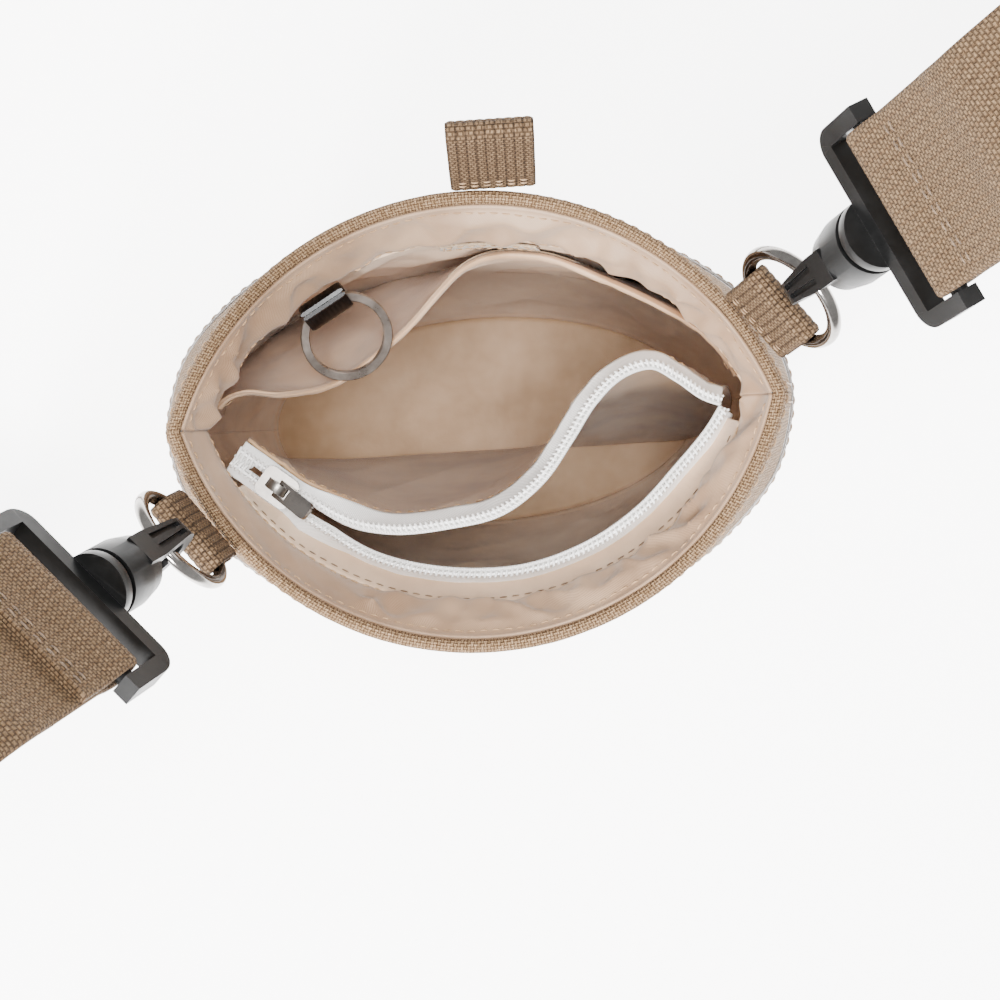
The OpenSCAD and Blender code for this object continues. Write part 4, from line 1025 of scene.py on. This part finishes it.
class POUCH_OT_shell(bpy.types.Operator, PieceMaker):
    """Makes the outer canvas: front, back and base, with their seams"""
    bl_idname = "pouch.shell"
    bl_label = "Outer canvas"

    def execute(self, context):
        for side, face in FACES:
            o = wall_cloth(f"canvas_{face}", side, canvas_depth, 0, CANVAS_TOP, (110, 80), (172, 165),
                           crowd=1.35)
            thicken(o, CANVAS_T)
            dress(o, "woven_polyester_canvas", "pouch", "canvas", f"outer_{face}_panel")
        base = cloth("canvas_base", 60, 30, lambda u, v: wall(FRONT, u, 0, 2.0).lerp(wall(BACK, u, 0, 2.0), v)
                     + Vector((0, 0, CANVAS_T)), 136, 70, wrap=True)
        thicken(base, CANVAS_T)
        dress(base, "woven_polyester_canvas", "pouch", "canvas", "base_panel")
        lines = []
        for side in (FRONT, BACK):
            for k in (0.012, 0.988):
                lines.append([(wall(side, k, z, canvas_depth(side, k, z)), outward(side, k, z))
                              for z in [4 + i * 2.6 for i in range(59)]])
            lines += [wall_line(side, z, canvas_depth) for z in CANVAS_ROWS]
        stitches("canvas_stitches", lines, "canvas")
        return {"FINISHED"}


class POUCH_OT_reflective(bpy.types.Operator, PieceMaker):
    """Makes the grey reflective band round the outside"""
    bl_idname = "pouch.reflective"
    bl_label = "Reflective band"

    def execute(self, context):
        parts, lines = [], []
        for side in (FRONT, BACK):
            o = wall_cloth("reflective_tape", side, tape_depth, *TAPE_EDGES, (150, 6), (172, 16))
            thicken(o, 0.7)
            parts.append(o)
            lines += [wall_line(side, z, tape_depth) for z in (TAPE_EDGES[0] + 1.5, TAPE_EDGES[1] - 1.5)]
        join(*parts)
        dress(parts[0], "retroreflective_tape", "pouch", "reflective", "reflective_band")
        stitches("reflective_stitches", lines, "reflective")
        return {"FINISHED"}


class POUCH_OT_rim(bpy.types.Operator, PieceMaker):
    """Rolls the canvas over the mouth's edge"""
    bl_idname = "pouch.rim"
    bl_label = "Mouth rim"

    def execute(self, context):
        roots = [tab_frame(s).translation for s in (LEFT_SIDE, RIGHT_SIDE)]
        for side, face in FACES:
            rings, centres = [], []
            for j in range(181):
                k = j / 180
                swollen = 1 + 0.03 * soft(k * 30, 0, 51.3 + side) + 0.02 * soft(k * 90, 0, 57.3 + side)
                here = wall(side, k, BAND_TOP, RIM_R)
                pressed = 0.13 * max(ease((15 - (root - here).length) / 5) for root in roots)
                r = RIM_R * (swollen - pressed)
                rings.append([wall(side, k, BAND_TOP + r * math.sin(a), RIM_R + r * math.cos(a) * 1.02)
                              for a in [i * math.pi / 8 for i in range(16)]])
                centres.append(here)
            around = [i / 16 for i in range(17)]
            o = sweep(f"rolled_rim_{face}", rings, (around, distances(centres)))
            dress(o, "woven_polyester_canvas", "pouch", "rim_binding", f"rim_{face}")
        return {"FINISHED"}


class POUCH_OT_channel(bpy.types.Operator, PieceMaker):
    """Makes the channel bands that hold the springs, with their gathers and stitch rows"""
    bl_idname = "pouch.channel"
    bl_label = "Spring channel"

    def execute(self, context):
        lines = []
        for side, face in FACES:
            o = wall_cloth(f"gathered_channel_band_{face}", side, channel_depth, BAND_BOTTOM, BAND_TOP,
                           (260, 20), (165, 15), inside=True)
            thicken(o, LINING_T)
            dress(o, "channel_taffeta", "pouch", "lining", f"channel_band_{face}")
            for z in (BAND_BOTTOM + 1.9, BAND_TOP - 1.6):
                lines.append(wall_line(side, z, channel_depth, True, 0.01, 0.99, 200))
        stitches("channel_stitches", lines, "lining", 2.2, 0.7)
        nodes_dressed("tempered_steel", "spring_strip_front", "spring_strip_back", "spring_pins")
        return {"FINISHED"}


class POUCH_OT_lining(bpy.types.Operator, PieceMaker):
    """Makes the folded lining and its floor"""
    bl_idname = "pouch.lining"
    bl_label = "Lining"

    def execute(self, context):
        for side, face in FACES:
            o = wall_cloth(f"folded_lining_{face}", side, lining_depth, 3.3, BAND_BOTTOM + 0.6,
                           (200, 120), (165, 150), inside=True)
            thicken(o, LINING_T)
            dress(o, "lining_taffeta", "pouch", "lining", f"lining_{face}")

        def place(u, v):
            rise = 0.25 * soft(u * 6, v * 4, 61) * math.sin(math.pi * u)
            return wall(FRONT, u, 2.8, 1.9).lerp(wall(BACK, u, 2.8, 1.9), v) + Vector((0, 0, rise))

        floor = cloth("folded_lining_floor", 60, 30, place, 136, 70, wrap=True)
        thicken(floor, LINING_T)
        dress(floor, "floor_taffeta", "pouch", "lining", "lining_floor")
        return {"FINISHED"}


def helix(side, run, pitch):
    """The line of a nylon coil along one half of the zip, and its core, in mm."""
    steps = 600
    marks, spots = [0.0], [coil_spot(side, run, 0)]
    for j in range(1, steps + 1):
        spots.append(coil_spot(side, run, COIL_RINGS * j / steps))
        marks.append(marks[-1] + (spots[-1] - spots[-2]).length)
    turns = int(marks[-1] / pitch)
    line = []
    j = 0
    for c in range(turns * 10 + 1):
        at = marks[-1] * c / (turns * 10)
        while j < steps - 1 and marks[j + 1] < at:
            j += 1
        u = (at - marks[j]) / max(1e-6, marks[j + 1] - marks[j])
        centre = spots[j].lerp(spots[j + 1], u)
        i = COIL_RINGS * (j + u) / steps
        n = across_run(run, i) * side
        shut = 1 - ease((i - 1.3) / 0.6)
        a = 2 * math.pi * c / 10 + (math.pi if side == FRONT else 0) * shut
        r = COIL_R - 0.3
        reach_in = mix(r, 1.5, shut)
        out = reach_in * math.cos(a) - 0.62 * shut
        line.append(centre + Vector((n.x * out, n.y * out, r * math.sin(a))))
    return line, [spots[j] for j in range(0, steps + 1, 5)]


def tube(name, line, radius, sides=6):
    """A plain round thread along a line in mm."""
    rings = []
    up = Vector((0, 0, 1))
    for i, p in enumerate(line):
        t = (line[min(len(line) - 1, i + 1)] - line[max(0, i - 1)]).normalized()
        a = t.cross(up)
        if a.length < 0.2:
            a = t.cross(Vector((1, 0, 0)))
        a.normalize()
        b = t.cross(a)
        turns = [2 * math.pi * j / sides for j in range(sides)]
        rings.append([p + (a * math.cos(q) + b * math.sin(q)) * radius for q in turns])
    return sweep(name, rings)


class POUCH_OT_zip(bpy.types.Operator, PieceMaker):
    """Makes the open coil zip: both tapes, both coils, the slider and its pull"""
    bl_idname = "pouch.zip"
    bl_label = "Zip"

    def execute(self, context):
        pitch = sizes().coil_pitch / MM
        lines = []
        for side, run, part in ((BACK, BACK_RUN, "back"), (FRONT, FRONT_RUN, "front")):
            def place(u, v, side=side, run=run):
                ripple = 0.35 * soft(v * 24, u * 2, 71 + side) * ease((u - 0.2) / 0.4)
                return tape_spot(side, run, COIL_RINGS * v, u, TAPE_UNDER - ripple)

            o = cloth(f"woven_zip_tape_{part}", 10, 240, place, 9, 210, flip=side == FRONT)
            thicken(o, TAPE_T)
            dress(o, "woven_zip_tape", "pouch", "zip_white", f"zip_tape_{part}")
            line, core = helix(side, run, pitch)
            coil = tube(f"nylon_coil_{part}", line, 0.32)
            join(coil, tube("core", core, 0.5))
            dress(coil, "nylon_zip_coil", "pouch", "zip_white", f"zip_coil_{part}")
            for u in (0.38, 0.9):
                row = []
                for j in range(181):
                    i = COIL_RINGS * (0.01 + 0.98 * j / 180)
                    row.append(sewn(*(tape_spot(side, run, i, u, TAPE_UNDER + d) for d in (-0.1, 1))))
                lines.append(row)
        stitches("zip_stitches", lines, "zip_white", 1.9, 0.6, "white_thread")
        seam_off = channel_off(BAND_BOTTOM) + LINING_T + 0.2
        seam = [wall(FRONT, j / 200, BAND_BOTTOM + 0.6, seam_off) for j in range(201)]

        def facing(u, v):
            edge = tape_spot(FRONT, FRONT_RUN, COIL_RINGS * mix(0.04, 0.985, v), 0.86, TAPE_UNDER + TAPE_T)
            far = min(seam, key=lambda p: (p - edge).xy.length)
            sag = math.sin(math.pi * u) * (1.2 + 0.9 * soft(v * 17, u, 75))
            return edge.lerp(far, u) - Vector((0, 0, sag))

        o = cloth("zip_facing", 12, 240, facing, 12, 205)
        thicken(o, LINING_T)
        dress(o, "lining_taffeta", "pouch", "lining")
        row = [(facing(0.84, 0.03 + 0.94 * j / 160), Vector((0, 0.3, 0.95))) for j in range(161)]
        stitches("facing_stitches", [row], "lining", 2.2, 0.8, "strap_thread")
        nodes_dressed("bright_nickel", "zip_slider", bevel=0.25)
        nodes_dressed("dark_nickel", "zip_pull", bevel=0.25)
        return {"FINISHED"}


class POUCH_OT_divider(bpy.types.Operator, PieceMaker):
    """Makes the wall between the zip pocket and the mouth"""
    bl_idname = "pouch.divider"
    bl_label = "Divider"

    def execute(self, context):
        def place(u, v):
            z = v * 140
            free = ease(v / 0.2) * ease((1 - v) / 0.06)
            fold = (0.9 * (1 - 2 * abs(soft(u * 7 + v * 1.6, v * 2.2, 81)))
                    + 0.35 * soft(u * 22, v * 5, 83)) * free
            gather = 0.3 * soft(u * 60, 0, 85) * ease((v - 0.8) / 0.15)
            return divider_spot(COIL_RINGS * u, v, LINING_T + max(-0.6, fold) + gather)

        o = cloth("folded_divider", 200, 90, place, 190, 140, flip=True)
        thicken(o, LINING_T)
        dress(o, "divider_taffeta", "pouch", "divider_lining", "zip_pocket_panel")
        row = []
        for j in range(161):
            i = COIL_RINGS * (0.02 + 0.96 * j / 160)
            row.append(sewn(*(divider_spot(i, 0.975, d) for d in (LINING_T + 0.1, -1))))
        stitches("divider_stitches", [row], "divider_lining", 2.2, 0.7)
        return {"FINISHED"}


class POUCH_OT_slip_pocket(bpy.types.Operator, PieceMaker):
    """Makes the slip pocket, its rolled hem and the touch-and-close strips"""
    bl_idname = "pouch.slip_pocket"
    bl_label = "Slip pocket"

    def execute(self, context):
        def fold(u, v):
            free = ease(v / 0.15) * ease((1 - v) / 0.1) * ease(u / 0.05) * ease((1 - u) / 0.05)
            return free * (0.8 - 2.6 * abs(soft(u * 6 + v * 1.5, v * 2.4, 91.3))
                           + 0.5 * soft(u * 19 - v * 3, v * 5, 93.4))

        def place(u, v):
            return slip_spot(u, v, LINING_T + fold(u, v))

        o = cloth("slip_pocket_cloth", 160, 60, place, 150, 80, flip=True)
        thicken(o, LINING_T)
        dress(o, "pocket_taffeta", "pouch", "lining", "slip_pocket_panel")
        rings, middles, row = [], [], []
        for j in range(181):
            t = 0.004 + 0.992 * j / 180
            h = SLIP_Z - 0.3 * hem_depth(t) - SLIP_FOOT
            wave = 0.22 * soft(t * 40, 0, 95)
            section = ((0.7, 0.3), (0.95, 0.75), (0.6, 1.35), (-0.6, 1.75 + wave), (-2.5, 1.85 + wave),
                       (-4.6, 1.65 + wave), (-5.7, 1.3), (-6.3, 1.45), (-6.8, 1.1), (-6.8, 0.5), (-3.0, -0.1),
                       (0.0, -0.1))
            rings.append([slip_spot(t, 1 + d / h, lift) for d, lift in section])
            middles.append(slip_spot(t, 1, 0.9))
            row.append(sewn(*(slip_spot(t, 1 - 5.7 / h, d) for d in (1.35, 0))))
        around = [0, 0.06, 0.13, 0.26, 0.45, 0.66, 0.77, 0.84, 0.92, 1.0, 1.35, 1.62, 1.7]
        hem = sweep("slip_pocket_hem", rings, (around, distances(middles)))
        dress(hem, "pocket_taffeta", "pouch", "lining")
        tacks = []
        for t in (0.03, 0.965):
            h = SLIP_Z - 0.3 * hem_depth(t) - SLIP_FOOT
            for s in range(9):
                z = 1 - (0.5 + s * 0.75) / h
                tacks.append([(slip_spot(t + x * 0.012, z, 2.0), -outward(BACK, 0.5, 100))
                              for x in (-1, 0, 1)])
        stitches("slip_pocket_stitches", [row, *tacks], "lining", 2.3, 0.7)

        def grip_k(z):
            return math.acos(0.1 * HALF_MOUTH / half_width(z)) / math.pi

        def on_wall(u, v):
            z = SLIP_Z + 0.5 + 9 * v
            half = 27 / 2 / (3.1 * half_width(z)) * 1.2
            depth = lining_off(z) + LINING_T + 1.05 + 0.08 * soft(u * 60, v * 20)
            return wall(BACK, grip_k(z) + (2 * u - 1) * half, z, depth)

        strip = cloth("touch_strip_wall", 60, 20, on_wall, 27, 9, flip=True)
        thicken(strip, 0.7)
        dress(strip, "touch_and_close_nylon", "pouch", "touch_tape", "grip_strip_wall")

        def on_pocket(u, v):
            tall = 9 / (SLIP_Z - SLIP_FOOT)
            return slip_spot(0.44 + (2 * u - 1) * 0.09, mix(0.99 - tall, 0.99, v), -0.65)

        strip = cloth("touch_strip_pocket", 60, 20, on_pocket, 27, 9)
        thicken(strip, 0.35)
        dress(strip, "touch_and_close_nylon", "pouch", "touch_tape", "grip_strip_pocket")
        lines = []
        for v in (0.1, 0.9):
            lines.append([(on_wall(0.04 + 0.92 * i / 20, v), -outward(BACK, 0.46, 140)) for i in range(21)])
        for u in (0.04, 0.96):
            lines.append([(on_wall(u, 0.1 + 0.8 * i / 6), -outward(BACK, 0.46, 140)) for i in range(7)])
        stitches("touch_strip_stitches", lines, "touch_tape", 1.9, 0.6)
        return {"FINISHED"}


class POUCH_OT_key_holder(bpy.types.Operator, PieceMaker):
    """Makes the black band and the split ring for keys"""
    bl_idname = "pouch.key_holder"
    bl_label = "Key holder"

    def execute(self, context):
        swap = Matrix(((0, 1, 0, 0), (0, 0, 1, 0), (1, 0, 0, 0), (0, 0, 0, 1)))
        f = key_frame() @ swap
        r = KEY_HOLE + 0.5
        path = (straight((0, 0.55), (-1.5, 0.6))
                + smooth_path([(-1.5, 0.6), (-4, 1.9), (-6.5, r - 0.15), (-KEY_DROP, r)])[:-1]
                + arc((-KEY_DROP, 0), r, 90, 270, 18)
                + smooth_path([(-KEY_DROP, -r), (-6.5, -r + 0.15), (-4, -1.9), (-1.5, -0.6)])[1:]
                + [(0, -0.55)])
        path.reverse()
        o = webbing("folded_key_band", path_stations(f, path), KEY_BAND_W, 1.0, 10, 0.12)
        dress(o, "black_nylon_tape", "pouch", "black_webbing", "key_band")
        g = key_frame() @ Matrix.Translation((0, 0, -KEY_DROP)) @ turned(KEY_SLOPE, "X") \
            @ Matrix.Translation((0, KEY_BOW - KEY_R, 0))
        rings = []
        for d in range(30, 691, 3):
            a = math.radians(d + 150)
            lift = mix(-0.46, 0.46, ease((d - 330) / 60))
            thick = 0.42 * (0.45 + 0.55 * min(1, (d - 30) / 12, (690 - d) / 12))
            rings.append([g @ Vector(((KEY_R + x) * math.cos(a), (KEY_R + x) * math.sin(a), lift + h * thick))
                          for x, h in KEY_WIRE_FORM])
        o = sweep("split_ring", rings)
        shade(o, 35)
        dress(o, "worn_nickel", "key_ring", "ring_steel", "key_ring")
        return {"FINISHED"}


class POUCH_OT_back_loop(bpy.types.Operator, PieceMaker):
    """Makes the webbing loop that stands at the back"""
    bl_idname = "pouch.back_loop"
    bl_label = "Back loop"

    def execute(self, context):
        k = math.acos(7.5 / half_width(POUCH_H) * 0.93) / math.pi
        p = wall(BACK, k, BAND_TOP, -TAB_T - 0.4)
        f = (Matrix.Translation((7.5, p.y, p.z)) @ turned(90, "Z")
             @ turned(-66, "Y"))
        end, r = 25 - 2.7, 1.95
        path = (smooth_path([(-0.6, -0.76), (1.2, -0.78), (3.6, -1.25), (6, -r)])[:-1]
                + straight((6, -r), (end, -r))
                + arc((end, 0), r, -90, 90) + straight((end, r), (6, r))[1:]
                + smooth_path([(6, r), (3.6, 1.25), (1.2, 0.78), (-0.6, 0.76)]))
        o = webbing("back_webbing_loop", path_stations(f, path), TAB_W, TAB_T, 9, 0.2)
        dress(o, "tab_webbing", "pouch", "narrow_webbing", "back_loop")
        marks = [((a, -8.6), (a, 8.6)) for a in (2.2, 3.6)]
        stitches("back_loop_stitches", band_lines(f, marks, 2.0), "narrow_webbing", 2.0, 0.6)
        return {"FINISHED"}


class POUCH_OT_tabs(bpy.types.Operator, PieceMaker):
    """Makes the two side tabs that hold the rings, and finishes the rings"""
    bl_idname = "pouch.tabs"
    bl_label = "Side tabs and rings"

    def execute(self, context):
        for name, s in (("left", LEFT_SIDE), ("right", RIGHT_SIDE)):
            f = tab_frame(s)
            r, eye = WIRE_R + 0.2 + TAB_T / 2, 15.5 - WIRE_R - 0.2
            path = (smooth_path([(-0.4, -0.78), (3.0, -0.8), (4.4, -1.7), (5.6, -r)])[:-1]
                    + straight((5.6, -r), (eye, -r))
                    + arc((eye, 0), r, -90, 90) + straight((eye, r), (5.6, r))[1:]
                    + smooth_path([(5.6, r), (4.4, 1.7), (3.0, 0.8), (-0.4, 0.78)]))
            o = webbing(f"{name}_side_tab", path_stations(f, path), TAB_W, TAB_T, 9, 0.2)
            dress(o, "tab_webbing", name + "_carrier", "narrow_webbing", name + "_tab")
            marks = [((a, -8.6), (a, 8.6)) for a in (1.3, 2.6)]
            stitches(f"{name}_tab_stitches", band_lines(f, marks, 1.55), "narrow_webbing", 2.0, 0.6,
                     body=name + "_carrier")
            nodes_dressed("gunmetal_wire", name + "_ring")
        return {"FINISHED"}


class POUCH_OT_hooks(bpy.types.Operator, PieceMaker):
    """Finishes the swivel snap hooks and their gates, pins, springs and bases"""
    bl_idname = "pouch.hooks"
    bl_label = "Snap hooks"

    def execute(self, context):
        for side in SIDES:
            nodes_dressed("black_coated_zinc", side + "_hook", bevel=0.35)
            nodes_dressed("black_coated_zinc", side + "_gate", bevel=0.25)
            nodes_dressed("black_coated_zinc", side + "_swivel_base", bevel=0.6)
            nodes_dressed("worn_nickel", side + "_gate_pin", bevel=0.1)
            nodes_dressed("tempered_steel", side + "_gate_spring")
        return {"FINISHED"}


class POUCH_OT_strap_ends(bpy.types.Operator, PieceMaker):
    """Folds the strap's ends round the bars of the snap hooks"""
    bl_idname = "pouch.strap_ends"
    bl_label = "Strap ends"

    def execute(self, context):
        for name, s, tail in (("left", LEFT_SIDE, TAIL_X), ("right", RIGHT_SIDE, STRAP_END_X + 0.65)):
            f = hook_frame(s)
            t = STRAP_T / 2
            r = FOLD_IN + t
            path = (straight((tail, t), (54, t))
                    + smooth_path([(54, t), (51.4, 1.4), (48, 2.5), (WEB_X, r)])[:-1]
                    + arc((WEB_X, 0), r, 90, 270, 20)
                    + smooth_path([(WEB_X, -r), (48, -2.5), (51.4, -1.4), (54, -t)])[1:]
                    + straight((54, -t), (STRAP_END_X + 0.65, -t))[1:] + [(STRAP_END_X + 0.65, -t)])
            o = webbing(f"{name}_strap_fold", path_stations(f, path), STRAP_W - 0.1, STRAP_T - 0.06, 16, 0.04)
            dress(o, "strap_nylon", name + "_carrier", "strap_webbing", name + "_strap_end")
            edge = STRAP_W / 2 - 2.4
            ends = (tail - 1.6, tail - 3.4) if name == "left" else (53.4, 55.2)
            marks = [((a, -edge), (a, edge)) for a in ends]
            stitches(f"{name}_strap_stitches", band_lines(f, marks, STRAP_T), "strap_webbing",
                     thread="strap_thread", body=name + "_carrier")
        return {"FINISHED"}


class POUCH_PT_panel(bpy.types.Panel):
    """Lists the pouch's pieces in the sidebar"""
    bl_idname = "POUCH_PT_panel"
    bl_label = "Treat pouch"
    bl_space_type = "VIEW_3D"
    bl_region_type = "UI"
    bl_category = "Treat pouch"

    def draw(self, context):
        layout = self.layout
        for group in (context.scene.pouch_sizes, context.scene.pouch_colours, context.scene.pouch_stage):
            box = layout.box()
            for key in group.__annotations__:
                box.prop(group, key)
        for operator in OPERATORS:
            layout.operator(operator.bl_idname)


OPERATORS = (
    POUCH_OT_stage, POUCH_OT_strap, POUCH_OT_shell, POUCH_OT_reflective, POUCH_OT_rim, POUCH_OT_channel,
    POUCH_OT_lining, POUCH_OT_zip, POUCH_OT_divider, POUCH_OT_slip_pocket, POUCH_OT_key_holder,
    POUCH_OT_back_loop, POUCH_OT_tabs, POUCH_OT_hooks, POUCH_OT_strap_ends)
GROUPS = (PouchColours, PouchSizes, PouchStage)


def register():
    for c in (*GROUPS, *OPERATORS, POUCH_PT_panel):
        bpy.utils.register_class(c)
    bpy.types.Scene.pouch_colours = bpy.props.PointerProperty(type=PouchColours)
    bpy.types.Scene.pouch_sizes = bpy.props.PointerProperty(type=PouchSizes)
    bpy.types.Scene.pouch_stage = bpy.props.PointerProperty(type=PouchStage)


def unregister():
    del bpy.types.Scene.pouch_stage, bpy.types.Scene.pouch_sizes, bpy.types.Scene.pouch_colours
    for c in reversed((*GROUPS, *OPERATORS, POUCH_PT_panel)):
        bpy.utils.unregister_class(c)


def main():
    register()
    for operator in OPERATORS:
        getattr(bpy.ops.pouch, operator.bl_idname.split(".")[1])()


if __name__ == "__main__":
    main()
